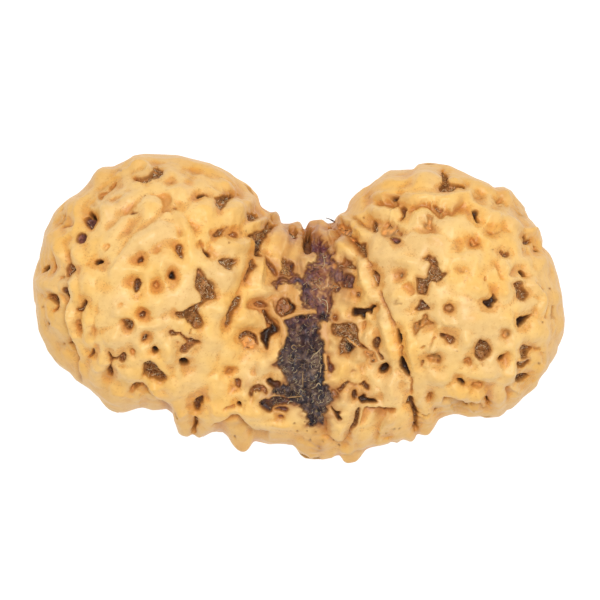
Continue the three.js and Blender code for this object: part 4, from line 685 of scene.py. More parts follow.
# %% Folds, where the ground left of the line's way lies lower: drop, reach, then the points
FOLDS = [
    # the long ledge of the left lobe's side, and the steps beside it
    [0.6, 1.6, -15.3, -5.4, -15.4, -5.1, -15.55, -4.6, -15.7, -4.2, -15.7, -3.9, -15.55, -3.5, -15.75, -3,
     -16, -2.2, -16.15, -1.6, -16.35, -1, -16.45, -0.3, -16.3, 0.5, -16.2, 1.2],
    [0.2, 0.7, -15.8, -3, -16.6, -3.3],
    [0.25, 1.1, -13.6, 2.2, -12.9, 3.5, -12.4, 4.3, -12.1, 4.6, -11.7, 5.2, -11, 5.75, -10.3, 6.15, -10,
     6.55, -9.4, 6.95, -8.8, 7.1],
    [0.2, 0.6, -13.9, 5.3, -12.8, 6.3, -11.8, 7.3, -10.7, 7.95],
    # below the left lobe
    [0.55, 1.2, -8.9, -7.4, -9.2, -7, -9.5, -6.7, -9.9, -6.4, -10.2, -6.2, -10.5, -6.1, -10.75, -5.8, -10.9,
     -5.5, -11.1, -5.3, -11.5, -5.35, -11.8, -5.55, -12, -5.85, -12.1, -6.1],
    [0.3, 0.6, -9.2, -7, -9.5, -6.8, -9.9, -6.68, -10.3, -6.75, -10.7, -6.7, -10.9, -6.5, -11.05, -6.4],
    # below the core
    [0.7, 2.2, -2, -8.8, -2.6, -8.7, -3.1, -8.65, -3.5, -8.5, -3.8, -8.25, -4, -8.05, -4.25, -7.75, -4.5,
     -7.65, -4.8, -7.7, -4.95, -7.85, -5.2, -8, -5.6, -8.1, -6.3, -8.4],
    [0.75, 2.4, 6.88, -7.5, 6.82, -7.35, 6.7, -7.2, 6.5, -7.1, 6, -7.08, 5.65, -7.03, 5.4, -7.12, 5, -7.15,
     4.5, -7],
    [0.4, 0.9, 3.45, -9, 3.3, -9.25, 3, -9.4, 2.6, -9.3, 2.05, -9],
    # below the right lobe
    [0.7, 1.5, 12, -7, 11.9, -7, 11.5, -6.55, 11.25, -6.3, 10.2, -6.3, 10, -7],
    [0.4, 0.8, 13.5, -7.1, 13, -7.1, 12.8, -6.8, 12, -6.75, 11.9, -7],
    [0.3, 0.6, 11, -5.05, 10.6, -5.2, 10.35, -5.45, 10.2, -5.7, 10.12, -5.85],
    [0.4, 0.7, 14.9, -5.4, 14.6, -5.65, 14.65, -6.2, 14.75, -6.6],
    # the right lobe's plates
    [0.3, 0.6, 13.75, 3.45, 13.85, 3, 14.05, 2.5, 14.3, 2.05, 14.45, 1.85],
    [0.3, 0.6, 15.5, 3.4, 15.1, 2.95, 14.85, 2.5, 14.75, 2.15],
    [0.25, 0.6, 14.9, -2.95, 14.05, -3.9],
    # the ridge that hangs over the top of the right lobe
    [0.55, 0.8, 11.7, 7.8, 11.45, 7.5, 11.1, 7.3, 10.8, 7.05, 10.3, 7.05, 10.1, 6.95, 9.9, 6.77, 9.75, 6.9,
     9.6, 7.1, 9.4, 7.3, 9.05, 7.45, 8.7, 7.5, 8.4, 7.45, 8.1, 7.4, 7.9, 7.25, 7.6, 7.3],
    [0.55, 0.8, 7.15, 7.35, 6.85, 7.55, 6.5, 7.62, 6, 7.65, 5.2, 7.6],
    # plates beside the groove
    [0.25, 0.5, -5.6, 4.95, -6, 4.95, -6.5, 4.75, -6.9, 4.65],
    [0.25, 0.5, -5.8, 5.65, -6.2, 5.6, -6.55, 5.3],
    [0.35, 0.7, -4, -0.05, -3.05, -0.05, -2.45, -0.45, -2.27, -0.91, -2.32, -1.36, -2.77, -1.68],
]

# %% Creases: depth, width, then the points
CREASES = [
    [0.09, 0.15, -14.1, 0.9, -14.25, 0, -14.5, -1, -14.75, -2],
    [0.2, 0.1, -8.85, -7.3, -8.6, -7.65],
    [0.3, 0.12, -5.4, -7.35, -5.2, -7.2, -4.9, -7.1, -4.55, -7],
    [0.15, 0.09, 13.05, 2.35, 13.05, 1.9],
    [0.2, 0.1, 16.65, 2, 16.75, 1.7, 16.95, 1.45, 17.15, 1.25],
    [0.15, 0.1, 16.6, -2.85, 17.1, -2.9],
    [0.2, 0.2, 17.3, -3.1, 17.2, -4],
    [0.25, 0.12, 3.5, 6.6, 3.9, 6.4, 4.3, 6.1, 4.6, 5.8, 5, 5.6],
    [0.3, 0.06, 4.65, 3.6, 4.8, 3.3, 5, 2.95],
    [0.3, 0.08, 5.6, 1.4, 5.8, 0.8, 6.1, 0.1, 6.4, -0.7, 6.75, -1.35],
    [0.35, 0.08, 7.12, -2.6, 7.15, -3.5],
    [0.3, 0.07, 7.85, -4.95, 7.95, -5.3, 7.9, -5.5, 7.9, -6.25],
    [0.2, 0.08, 9.6, -2.05, 9.4, -2.2, 9.3, -2.45, 9.1, -2.75],
    [0.2, 0.08, 8.6, -7.55, 9, -7.5, 9.2, -7.35],
    [0.15, 0.08, 8.9, -2.6, 8.5, -2.9],
    [0.3, 0.35, 7.3, 1.8, 7.7, 1.3, 8, 0.9],
    [0.15, 0.08, 7, 0.75, 6.75, 0.3, 7.3, 0.38],
    [0.15, 0.09, -7.55, -1.4, -7.65, -1.9],
    [0.2, 0.2, -3.1, -3.7, -3.3, -4.9],
    [0.25, 0.1, -1.1, -2.6, -1.4, -3.3],
    [0.2, 0.1, -16.9, 5.85, -16.5, 5.95, -16.1, 6, -16, 6.3],
    [0.15, 0.07, 3.5, -5.2, 3.9, -5.5, 4.1, -5.5],
    [0.12, 0.1, -12.95, 9.9, -12.5, 9.9],
    [0.2, 0.1, -7, 5, -6.9, 4.7, -6.8, 4.4],
    [0.1, 0.25, -5.2, -1.45, -5.35, -2.2, -5.6, -3.2, -6, -4.4, -6.35, -5.3, -6.8, -6.3],
    [0.15, 0.16, -4.4, 0.95, -4.1, 1.6, -3.95, 2],
    [0.15, 0.12, 17.45, 0.3, 17.45, -0.8],
    [0.15, 0.12, 17.95, 0.3, 17.95, -0.8],
    [0.12, 0.15, -7, 10.3, -5.8, 9.7, -4.7, 8.8],
    [0.12, 0.15, -8, 10.1, -6.7, 9.7, -5.5, 9],
]

# %% Ridges: height, radius, then the points
RIDGES = [
    [0.35, 0.3, 5.2, 7.95, 6, 8, 7.3, 7.85, 8.6, 7.85, 10, 7.7, 11.3, 7.95, 11.9, 8.1],
    [0.3, 0.3, 3.1, -10.2, 4, -10.1, 4.8, -9.9],
    [0.25, 0.3, 6, -7.3, 6.4, -8],
    [0.3, 0.5, 2.7, -7.2, 2.8, -8.2, 2.75, -9],
    [0.2, 0.25, -11.7, 10.1, -11, 10.35, -10.5, 9.95],
    [0.2, 0.25, 15, -1.5, 15.1, -2.9, 15, -4.3],
]

# %% Rounded lumps (+) and hollows (-) of the net's plates: height, x, y, two radii, and any turn in degrees
SWELLS = [
    # left lobe, outer part
    [0.3, -14, 9.5, 0.8, 0.6, 20], [0.25, -11.4, 10.5, 1.1, 0.5, 5], [-0.25, -15, 8.8, 0.9, 0.4, 30],
    [0.3, -16.2, 7.3, 0.9, 0.6, 45], [0.3, -17.4, 4.9, 0.7, 1.1], [0.3, -15.7, 3.9, 0.45, 0.9, -5],
    [0.35, -16.9, 3.9, 0.4, 0.9], [0.3, -18.4, 1.8, 0.6, 0.8], [-0.25, -16.3, 3.6, 0.35, 0.6],
    [-0.3, -16.3, 6.25, 0.35, 0.35], [-0.35, -14.9, 6.4, 0.6, 0.9, -10], [0.3, -13.7, 6.9, 0.6, 0.9, 20],
    [0.35, -15.9, 1.6, 0.4, 1], [0.3, -15, 1.8, 0.6, 1.1], [0.3, -16.15, -0.9, 0.3, 1.6, 8],
    [0.3, -14.95, -1.4, 0.4, 1.7, 4], [-0.3, -16.7, -0.2, 0.35, 1.1], [0.25, -17.7, -0.9, 0.6, 0.9],
    [0.3, -14.3, -4.6, 0.7, 1.1, -10], [0.35, -13.1, -6.3, 1.1, 0.8, -15], [-0.25, -14.3, -3.2, 0.4, 0.8],
    # left lobe, middle
    [0.3, -12.7, 7.5, 1.5, 0.45, 30], [0.35, -10.5, 7.3, 0.9, 0.8, 20], [-0.3, -12.2, 5.7, 1.3, 0.4, 40],
    [0.3, -11.2, 4.7, 1.3, 0.7, 35], [0.25, -13, 2.7, 0.8, 1.1, 10], [-0.4, -12, 1.9, 0.9, 0.6, 15],
    [0.25, -12.7, -0.3, 0.6, 0.5], [0.3, -10.1, 0.3, 1.1, 0.8, -20], [0.3, -9.9, 5.4, 1, 0.7, 20],
    [-0.3, -10.1, 4.1, 0.5, 0.5], [-0.35, -11.3, 3.5, 0.6, 0.6], [-0.35, -8.9, 2.4, 0.6, 0.6],
    [-0.3, -10.1, 1.7, 0.5, 0.6], [-0.35, -11.1, -0.5, 0.6, 0.5, 20], [-0.3, -12.1, -1.2, 0.7, 0.7],
    [-0.3, -8.4, 4.1, 0.5, 0.8, 10], [0.25, -9.7, 2.9, 0.5, 0.9], [0.3, -13.1, -2.1, 0.9, 0.6],
    [-0.3, -10.9, -2.2, 0.5, 0.5, 30], [-0.3, -10.2, -3.1, 0.5, 0.5], [-0.35, -8.1, -4, 0.6, 0.6],
    [0.3, -9.2, -3.1, 0.5, 0.9], [0.3, -12, -4.7, 0.9, 0.5, -10], [0.35, -8.8, -5.8, 1, 0.8],
    [0.3, -8.5, -7.6, 0.6, 1.1], [0.3, -10.1, -5.9, 0.6, 0.35, -35], [0.25, -10.3, -1.2, 1.1, 0.4, 10],
    # left lobe, top
    [0.3, -8.4, 8.3, 1, 0.6, -15], [0.35, -6.8, 7.1, 1.1, 0.8], [0.45, -4.6, 6.95, 1, 1, 20],
    [0.3, -8.1, 5.9, 1.3, 0.4, -60], [-0.25, -9.3, 9.2, 1, 0.4], [0.25, -6.2, 9.9, 1.6, 0.25, -25],
    [0.25, -5.2, 8.8, 1.2, 0.25, -35], [0.3, -2.9, 6.2, 0.8, 0.3, 15], [0.3, -3.6, 7.6, 0.5, 0.7, 20],
    # from the left lobe to the core
    [0.3, -4.9, 4.5, 1.8, 0.6], [0.35, -5, 2.1, 0.8, 1, 10], [0.35, -2.9, 2.4, 0.5, 1.2, -12],
    [0.35, -5.6, 0, 0.8, 0.7, 20], [0.4, -3.9, -0.8, 1.2, 0.6], [0.3, -2.7, 1.2, 1, 0.5],
    [0.25, -6, -2.3, 1.1, 0.8], [0.25, -5, -3.1, 0.8, 1], [0.3, -2.6, -3.9, 0.9, 0.8, 20],
    [-0.25, -3.6, -2.3, 0.7, 0.7], [0.3, -5.8, -5.6, 0.9, 0.9], [-0.3, -4.9, -4.5, 0.5, 0.4],
    [0.3, -3.1, -7.5, 1.1, 0.5, -10], [0.35, -5.9, -7.3, 0.6, 0.6], [0.35, -1.3, 4.9, 0.8, 1.1, 10],
    [0.2, -1.1, -8.3, 1, 0.4], [0.3, 1.2, -9.9, 1.5, 0.8], [0.3, -4.2, -9.5, 0.6, 0.7],
    # from the scar to the right lobe
    [0.3, 1.3, 5.7, 0.6, 0.7], [0.25, 2.25, 5.3, 0.25, 0.55, 10], [0.35, 3.1, 4.4, 0.9, 0.7, -40],
    [0.3, 3.1, 6.4, 0.8, 0.3, -35], [0.3, 4.4, 5.5, 0.6, 0.4, -35], [0.3, 4.5, 2.5, 0.45, 1.3, 8],
    [0.3, 5, 0.8, 0.7, 0.6], [0.25, 3.1, 0.6, 0.7, 0.7], [0.3, 2.5, -2.4, 0.35, 0.5],
    [0.3, 4.1, -3.4, 0.6, 0.6], [0.25, 3.4, -4.4, 1.1, 0.7], [0.3, 6, -1.2, 0.5, 1.6, 10],
    [0.35, 6.4, -5.8, 0.6, 1.3, 5], [0.35, 3.1, -6.5, 0.6, 0.5], [0.3, 4.8, -1.9, 0.4, 0.7],
    [-0.3, 6, -4.3, 0.6, 0.6], [0.3, 7.9, -3, 0.4, 1.4, 8], [0.25, 6.9, 0.9, 0.7, 1],
    [0.25, 6.3, 3.6, 1.1, 0.6], [-0.25, 7.1, 2.4, 0.5, 0.5], [0.3, 7.4, 3.3, 0.8, 0.4],
    # right lobe, top
    [0.45, 8.7, 6.6, 1.1, 1], [0.4, 6, 6.9, 1.2, 0.7], [0.35, 10.7, 6, 1.3, 0.9, -10],
    [0.3, 8.9, 9.3, 1, 0.9], [0.25, 6.2, 8.9, 1.2, 0.6, 15], [0.3, 12.7, 8.8, 1.2, 0.4, -25],
    [0.35, 14.5, 8.3, 0.9, 0.5, -20], [0.3, 9.5, 5, 0.9, 0.4, -10], [-0.3, 9.1, 6.1, 0.5, 0.5],
    [0.3, 13.8, 6.6, 0.7, 0.5], [0.3, 15.1, 6, 0.9, 0.5, -40], [0.45, 16.5, 5.5, 0.6, 0.5],
    [-0.3, 12.4, 4.8, 0.5, 0.5], [0.25, 13.2, 4.7, 0.6, 0.5], [0.3, 15.5, 8, 0.7, 0.4, -50],
    # right lobe, middle and edge
    [0.35, 11.9, 3.3, 1.5, 1.2], [-0.3, 11.4, 2.8, 0.5, 0.4], [0.3, 12.5, 1.4, 1, 0.7, -20],
    [0.3, 14.5, 2.9, 0.4, 0.7], [0.3, 14.5, 1.1, 0.5, 0.8], [0.3, 17.1, 3.3, 0.7, 0.9, 20],
    [0.3, 16.7, 1.5, 0.35, 0.9, 30], [0.25, 14.7, -0.9, 0.5, 1.1], [0.3, 17.1, -1.7, 0.9, 0.9],
    [0.25, 12.2, -0.9, 1.1, 0.8], [-0.25, 10.5, 0.1, 0.6, 0.6], [0.3, 11.7, -2.3, 0.5, 0.7],
    [-0.25, 12.9, -3, 1, 1], [0.25, 10.3, -0.9, 0.9, 0.4, -15], [-0.3, 14.6, -1.8, 0.5, 0.5],
    [0.35, 14.8, -4.6, 0.6, 0.8], [-0.3, 14.3, -3.7, 0.5, 0.5, 30], [0.3, 17, -4.3, 0.6, 0.9, -20],
    [0.3, 18.3, 0.9, 0.4, 0.6], [0.3, 18.4, -1.3, 0.5, 0.9], [0.3, 17.2, 0.4, 0.25, 0.9],
    # right lobe, lower part
    [0.3, 9.4, -2.9, 0.5, 0.4, 40], [-0.3, 9.5, -3.6, 0.7, 0.5], [0.3, 9.9, -4.9, 1, 0.6],
    [0.4, 11.3, -5.8, 1.2, 0.7, -15], [0.35, 12.7, -6.1, 0.7, 0.5, 20], [0.3, 12.6, -7.2, 0.6, 0.35],
    [0.35, 14, -6.5, 0.6, 1.1], [0.3, 9, -7.6, 0.6, 0.9, 10], [-0.3, 9.2, -6.4, 0.4, 0.5],
    [0.3, 15.4, -6.3, 0.6, 0.7, 30], [0.25, 13.3, -4.7, 1, 0.5, 10], [-0.3, 11.9, -3.9, 0.5, 0.4],
]

# %% Knobs (+) and dents (-) that shape the outline: x, y, radius, height
KNOBS = [
    [-17.5, 6.6, 1, 0.3], [-15.8, 8.4, 1, -0.35], [-14.2, 9.6, 0.9, 0.4], [-13.1, 10.2, 0.5, -0.3],
    [-11.4, 11, 1.3, 0.25], [-3.5, 8.4, 1.3, 0.5], [-0.3, 6.1, 0.6, 0.25], [1, 6.1, 0.6, 0.3],
    [2.9, 7, 0.8, -0.35], [6.1, 9.5, 1, 0.3], [9.2, 10.4, 1.5, 0.3], [13.5, 8.9, 0.8, -0.65],
    [14.8, 8.5, 0.8, 0.5], [16, 7.4, 0.8, 0.4], [16.9, 5.6, 0.7, 0.35], [17.5, 4.7, 0.6, -0.6],
    [18.9, -1.3, 1.6, 0.35], [18.5, -2.9, 1.2, 0.4], [15.4, -6.8, 1.6, 0.75], [13.4, -7.7, 1, 0.35],
    [10.9, -7.9, 0.9, -0.75], [9, -8.7, 0.7, 0.65], [8, -9.2, 0.5, 0.45], [5.6, -9.6, 0.9, -0.25],
    [3.7, -10.4, 0.8, 0.85], [1.2, -10.4, 1.5, 0.7], [-1.4, -9.9, 0.9, -0.6], [-2.8, -9.5, 0.7, -0.55],
    [-4.2, -9.6, 0.8, 0.9], [-5.7, -9.1, 0.7, -0.9], [-6.9, -9.1, 0.6, 0.45], [-8.3, -8.7, 0.7, 0.95],
    [-9.5, -7.8, 0.8, -0.8], [-11, -7.4, 0.8, -0.5], [-12.9, -7, 1.2, 0.9], [-15, -6, 0.8, -0.15],
    [-17.6, -3.3, 2, 0.4],
]

# %% The outline against the table, clockwise from the top left
OUTLINE = pairs([
    -12, 10.85, -12.4, 10.6, -13.2, 10.15, -14, 10.2, -14.4, 10, -14.7, 9.4, -15, 9, -15.4, 8.5, -15.7, 8.25,
    -16.4, 7.9, -16.8, 7.6, -17.2, 7.2, -17.5, 6.8, -17.85, 6, -18.1, 5.5, -18.3, 4, -18.6, 3.4, -18.6, 3,
    -18.8, 2.4, -18.95, 1.9, -19, 1.3, -18.97, 0.8, -18.75, 0.2, -18.75, -0.4, -18.5, -1.8, -18.3, -2.2, -18,
    -2.7, -17.8, -3.2, -17.5, -3.65, -17, -4.15, -16.3, -4.6, -15.9, -5.15, -14.9, -5.75, -14.2, -6.4, -14,
    -6.8, -13.6, -7.2, -12.9, -7.47, -12.4, -7.45, -11.5, -7.15, -11.1, -7.1, -10.4, -7.35, -9.9, -7.33,
    -9.5, -7.2, -8.95, -7.5, -8.88, -8.2, -8.6, -8.95, -8.3, -9.15, -7.9, -9.22, -7.6, -8.98, -7.35, -9.2,
    -7.1, -9.35, -6.6, -9.05, -6, -8.75, -5.6, -8.75, -5.2, -9.05, -4.8, -9.65, -4.5, -10, -4.2, -10.25,
    -3.9, -10.35, -3.42, -10.05, -3.45, -9.75, -3.2, -9.42, -2, -9.65, -0.4, -9.72, -0.1, -10.2, 0.05, -10.5,
    0.35, -10.75, 1, -10.87, 1.7, -10.8, 2.6, -10.55, 2.9, -10.5, 3.15, -11.05, 3.4, -11.13, 4, -10.95, 4.3,
    -10.65, 4.7, -10.1, 5, -9.97, 5.9, -9.83, 6.35, -9.7, 6.45, -9.5, 6.9, -9.55, 7.4, -9.35, 7.8, -9.55, 8,
    -9.6, 8.3, -9.2, 8.3, -8.95, 8.9, -9.12, 9.2, -9.05, 9.6, -8.5, 9.9, -7.95, 10.4, -7.75, 10.9, -7.62,
    11.4, -7.63, 12, -7.8, 12.9, -7.75, 13.2, -7.9, 14.2, -7.8, 14.6, -7.5, 14.7, -7.3, 15.1, -7.2, 15.4,
    -6.9, 15.8, -6.4, 16.4, -6, 16.85, -5.6, 17, -5.1, 17.55, -4.4, 17.7, -4, 18.2, -3.4, 18.8, -2.5, 19.05,
    -1.9, 19.1, -1.3, 18.95, -0.5, 18.85, 0.5, 18.4, 1.2, 18.15, 2.2, 17.9, 3.1, 17.5, 3.85, 17, 4.4, 16.8,
    4.6, 17.05, 4.95, 17.1, 5.2, 17, 5.8, 16.6, 6.3, 16.3, 6.55, 16, 7.35, 15.6, 7.9, 15.1, 8.5, 14.5, 8.77,
    13.75, 8.65, 13.4, 8.95, 12.4, 9.35, 11.7, 9.75, 10.6, 10.3, 9.5, 10.5, 9, 10.5, 8.4, 10.35, 8.1, 9.95,
    7.5, 9.92, 6.5, 9.85, 6, 9.6, 5.6, 9.3, 5, 8.85, 4.5, 8.6, 4.1, 8.15, 3.6, 7.5, 3.5, 7.1, 3.3, 6.75, 2.9,
    6.7, 2.5, 6.3, 2.5, 6.05, 1.95, 6, 1.7, 6.37, 0.65, 6.25, 0.53, 6.05, 0.5, 5.35, 0.25, 5.75, 0.1, 6.3,
    -0.1, 6.37, -0.65, 6.05, -1.33, 6, -1.42, 6.7, -1.65, 7.02, -2, 6.8, -2.45, 7.05, -2.7, 7.2, -3, 8, -3.7,
    8.75, -4.5, 9.3, -5.5, 9.95, -6.5, 10.4, -7.8, 10.75, -8.7, 11, -11, 11.1, -11.8, 11,
])

# %% The dark strip where the stones grew together
SCAR = pairs([
    0.95, 5, 0.95, 4, 1.4, 3.75, 1.3, 3.6, 0.9, 3.35, 0.75, 3.1, 0.5, 2.85, 0.4, 2.5, 0.25, 2.2, 0.05, 2.1,
    -0.15, 2.3, -0.3, 2.7, -0.5, 3.15, -0.65, 3.35, -0.8, 3.1, -0.6, 2.7, -0.42, 2.35, -0.75, 2.1, -1.15,
    2.2, -1.35, 2.3, -1.65, 2, -1.68, 1.7, -1.5, 1.6, -1.3, 1.85, -0.9, 1.92, -0.45, 1.75, -0.05, 1.5, 0.2,
    1.2, 0.22, 0.8, 0.15, 0.4, 0.2, 0.08, 1.1, 0.05, 1.15, -0.45, -0.15, -0.5, -0.8, -0.85, -0.95, -1.05,
    -0.95, -2, -1, -2.5, -1.25, -3, -1.45, -3.3, -1.6, -3.55, -1.55, -3.9, -1.4, -4.2, -1.15, -4.5, -0.95,
    -4.65, -0.85, -5.2, -1, -5.4, -1.35, -5.45, -1.9, -5.8, -2, -6.3, -1.6, -6.3, -0.9, -6.4, -0.5, -6.8,
    -0.1, -6.9, 0.1, -7.1, 0.3, -7.3, 0.4, -7.7, 0.55, -8.3, 0.75, -8.5, 1, -8.3, 1.6, -8.3, 1.85, -8.4, 1.9,
    -8, 1.85, -7.5, 1.9, -7.1, 2.15, -6.9, 2.3, -6.6, 2.25, -6.2, 2.1, -5.5, 1.75, -5.5, 1.65, -5.3, 1.65,
    -4.9, 1.7, -4.2, 1.65, -3.6, 1.7, -3.2, 1.95, -3, 1.75, -2.8, 1.7, -2.4, 1.55, -2, 1.45, -1.6, 1.45, -1,
    1.9, -0.85, 2.1, -0.8, 2.15, -0.3, 2.2, 0.2, 2.25, 0.7, 2.35, 1.1, 2.5, 1.4, 2.9, 1.5, 3, 1.9, 3.05,
    2.55, 3, 2.9, 2.7, 2.95, 2.7, 3.25, 2.5, 3.5, 2.3, 3.75, 2.15, 4.1, 2.05, 4.3, 1.95, 4.7, 1.8, 4.95,
    1.65, 4.6, 1.45, 4.95, 1.3, 4.6, 1.1, 5.2,
])

# %% Ridges that bridge the scar and the openings: height over the skin, radius, then the points
BRIDGES = [
    [0.1, 0.2, -1.95, 0.45, -2, 0, -1.82, -0.45, -1.32, -0.82, -1.18, -1.36, -1.1, -2, -1.25, -2.7],
    [-0.05, 0.17, -1.32, -0.82, -0.64, -0.55, -0.05, -0.36, 0.3, -0.28],
    [-0.15, 0.18, -0.2, -0.25, 0.5, -0.25, 1.05, -0.25],
    [-0.1, 0.22, -1.3, 1.5, -0.7, 1.55, -0.25, 1.1, -0.1, 0.4],
    [-0.05, 0.22, 1.75, -1, 1.85, -1.8, 1.9, -2.8],
    [-0.1, 0.14, 1.82, -3.3, 1.85, -4.2, 1.85, -5],
    [0.0, 0.12, 3.4, -2.2, 4.1, -2.75],
    [-0.1, 0.12, 8.3, 2.3, 8.75, 2.2, 8.95, 2.4],
    [0.0, 0.12, 15.55, -3.75, 16.3, -3.6],
]

# %% [markdown]
# The colour follows what each spot has been through: orange where wax is thick, grey where it wore off,
# brown where sap has stained it. Some patches are painted shade: in funnels, on undersides that lie back,
# under an overhanging ridge and in a deep slot. Soft patches give all that, one coat over another, each
# listed where it lies on the seed.

# %% Patches of colour: the colour, its strength, x, y, two radii and any turn of the first, in degrees
PATCHES = [
    # where the wax is thick and orange
    ["#f0a848", 0.5, -8.1, 8.6, 0.7, 0.4, -30], ["#f5b85a", 0.5, -8.4, 6.5, 0.5, 1],
    ["#f5b85a", 0.4, -4, 7.2, 0.5, 0.6], ["#efab58", 0.4, 9.6, 4.8, 0.7, 0.5],
    ["#efa850", 0.5, -9.5, 4.1, 0.6, 0.5], ["#efa850", 0.5, -8.5, 3.4, 0.6, 0.5],
    ["#efa850", 0.45, -9.1, 3.1, 0.5, 0.5], ["#efa850", 0.4, -10.7, 1.2, 0.6, 0.6],
    ["#efa850", 0.4, -6, 3.9, 0.6, 0.4], ["#e09848", 0.5, 14.2, 8.25, 0.4, 0.3],
    ["#e8a050", 0.4, 11.1, 0.2, 0.4, 0.4], ["#e8a050", 0.4, 12.2, -0.6, 0.4, 0.4],
    ["#e8a050", 0.4, 18.8, -1.4, 0.4, 0.6],
    # the lining of holes and channels that the skin runs into, and the ground under the ridge over the right
    # lobe: painted shade, warm orange-brown
    ["#c98444", 0.5, -15.5, 0.5, 0.3, 0.6], ["#c98444", 0.5, -16.65, 0, 0.25, 0.5],
    ["#cf8f4c", 0.45, -16.2, 3.6, 0.35, 0.4], ["#cf8f4c", 0.45, -15.3, 6.8, 0.3, 0.4],
    ["#cf8f4c", 0.45, -17.6, 3, 0.25, 0.4], ["#c07840", 0.5, -3.7, -5.4, 0.3, 0.45],
    ["#d08858", 0.4, -12.6, -1.2, 0.25, 0.4], ["#cd8844", 0.5, -3.6, -2.3, 0.65, 0.65],
    ["#b56a38", 0.45, -3.1, -2.4, 0.2, 0.4], ["#c8803c", 0.5, 8.05, 0.7, 0.2, 0.3],
    ["#c4752f", 0.5, 6.8, 7.85, 1.6, 0.25], ["#c4752f", 0.4, 11.2, 7.55, 0.5, 0.25, 40],
    ["#c98a50", 0.4, 18.2, -0.1, 0.2, 0.4], ["#c9904e", 0.45, 15.9, -2.3, 0.25, 0.4],
    # undersides that lie back: painted shade, a darker tan than the face
    ["#cf9a5a", 0.5, -4.3, -8.6, 1.6, 0.5], ["#b87a3e", 0.45, -4.4, -8, 0.8, 0.3, -20],
    ["#c99052", 0.5, 5.9, -8, 1.5, 0.8], ["#ad7038", 0.5, 5.7, -7.55, 0.5, 0.45],
    ["#cda05f", 0.5, 11, -7.1, 0.9, 0.6], ["#d99a55", 0.5, 3.7, -10.7, 0.6, 0.5],
    ["#c98f55", 0.4, 3.4, -9.6, 0.5, 0.15], ["#d39a5c", 0.4, 12.6, -7.2, 0.7, 0.3],
    ["#e0a050", 0.45, 0.6, -9.4, 4.2, 1.2], ["#c87a48", 0.35, -4.2, -9.9, 0.5, 0.5],
    # worn, greyer skin
    ["#d6bb90", 0.4, -7.2, 8.95, 0.4, 0.3], ["#cdb083", 0.35, -4.6, -7.35, 0.45, 0.25],
    ["#cfae80", 0.4, -3, -4.3, 0.4, 0.7], ["#cbab80", 0.35, 17.6, -3.6, 0.5, 0.6],
    ["#d8b98c", 0.4, -17.3, -2.4, 0.8, 1.5, 20],
    # beside the scar and the notch. Painted shade among them: the near-black one in the notch's slot, the
    # thin ones under the ridge over the right lobe, and the broad one at (4.6, -6.3), which is stain as well
    ["#b86a34", 0.7, 1.85, -1.8, 0.3, 1.2, 5], ["#a0602f", 0.7, 1.85, -4.2, 0.2, 0.9],
    ["#8a4a2a", 0.7, 2.5, -6.05, 0.35, 0.4], ["#c8864a", 0.6, 2.3, 4.3, 0.35, 1.1, 8],
    ["#b5743f", 0.5, -0.9, 4.8, 0.9, 1.2], ["#cf9258", 0.6, 1.3, 5.7, 0.6, 0.7],
    ["#c07038", 0.5, -1.1, -4.85, 0.15, 0.4], ["#8f5a30", 0.5, -1.7, 6.5, 0.4, 0.5],
    ["#b87040", 0.45, 3.3, 0.9, 0.7, 0.8], ["#a8683a", 0.45, 4.6, -6.3, 1.6, 0.6],
    ["#4a2c30", 0.75, 0.88, 4.8, 0.2, 0.8], ["#1c1820", 0.85, 0.46, 5.1, 0.16, 0.9],
    ["#a8683a", 0.4, 3.4, -3.1, 1.3, 0.9, -20], ["#a8683a", 0.4, -2.8, -6.3, 1.1, 0.7],
    ["#b0703c", 0.4, -2.6, 5.4, 0.9, 0.6, 40], ["#b87040", 0.4, 3.2, -1.5, 1, 0.9],
    ["#b87040", 0.4, -2.1, 0, 1, 0.9], ["#a86a3c", 0.5, 0, 3.2, 0.5, 1.2],
    ["#f8c46a", 0.5, 14.2, -2.9, 0.4, 0.6], ["#f8c46a", 0.5, 14.5, -4.6, 0.4, 0.6],
    ["#f8c46a", 0.45, 12.5, -0.6, 0.9, 0.5], ["#f8c46a", 0.5, 10.1, -4.8, 0.9, 0.5],
    ["#f2b454", 0.45, -3.6, -0.9, 1.2, 0.5], ["#f2b454", 0.45, -5.2, 4.6, 1.2, 0.5],
    ["#f2b454", 0.4, -4.5, 2, 0.5, 1], ["#b8682c", 0.5, 6.8, 7.5, 1.4, 0.2],
    ["#b8682c", 0.45, 11.1, 7.3, 0.5, 0.2, 30], ["#7a5450", 0.8, 3.2, 2.5, 0.5, 0.9],
    ["#b9834a", 0.5, -1.9, 3, 0.4, 0.9, 25], ["#c9823c", 0.5, -0.6, 1.2, 0.5, 0.6],
    ["#a8603c", 0.6, 0.75, 3.6, 0.25, 0.25],
]
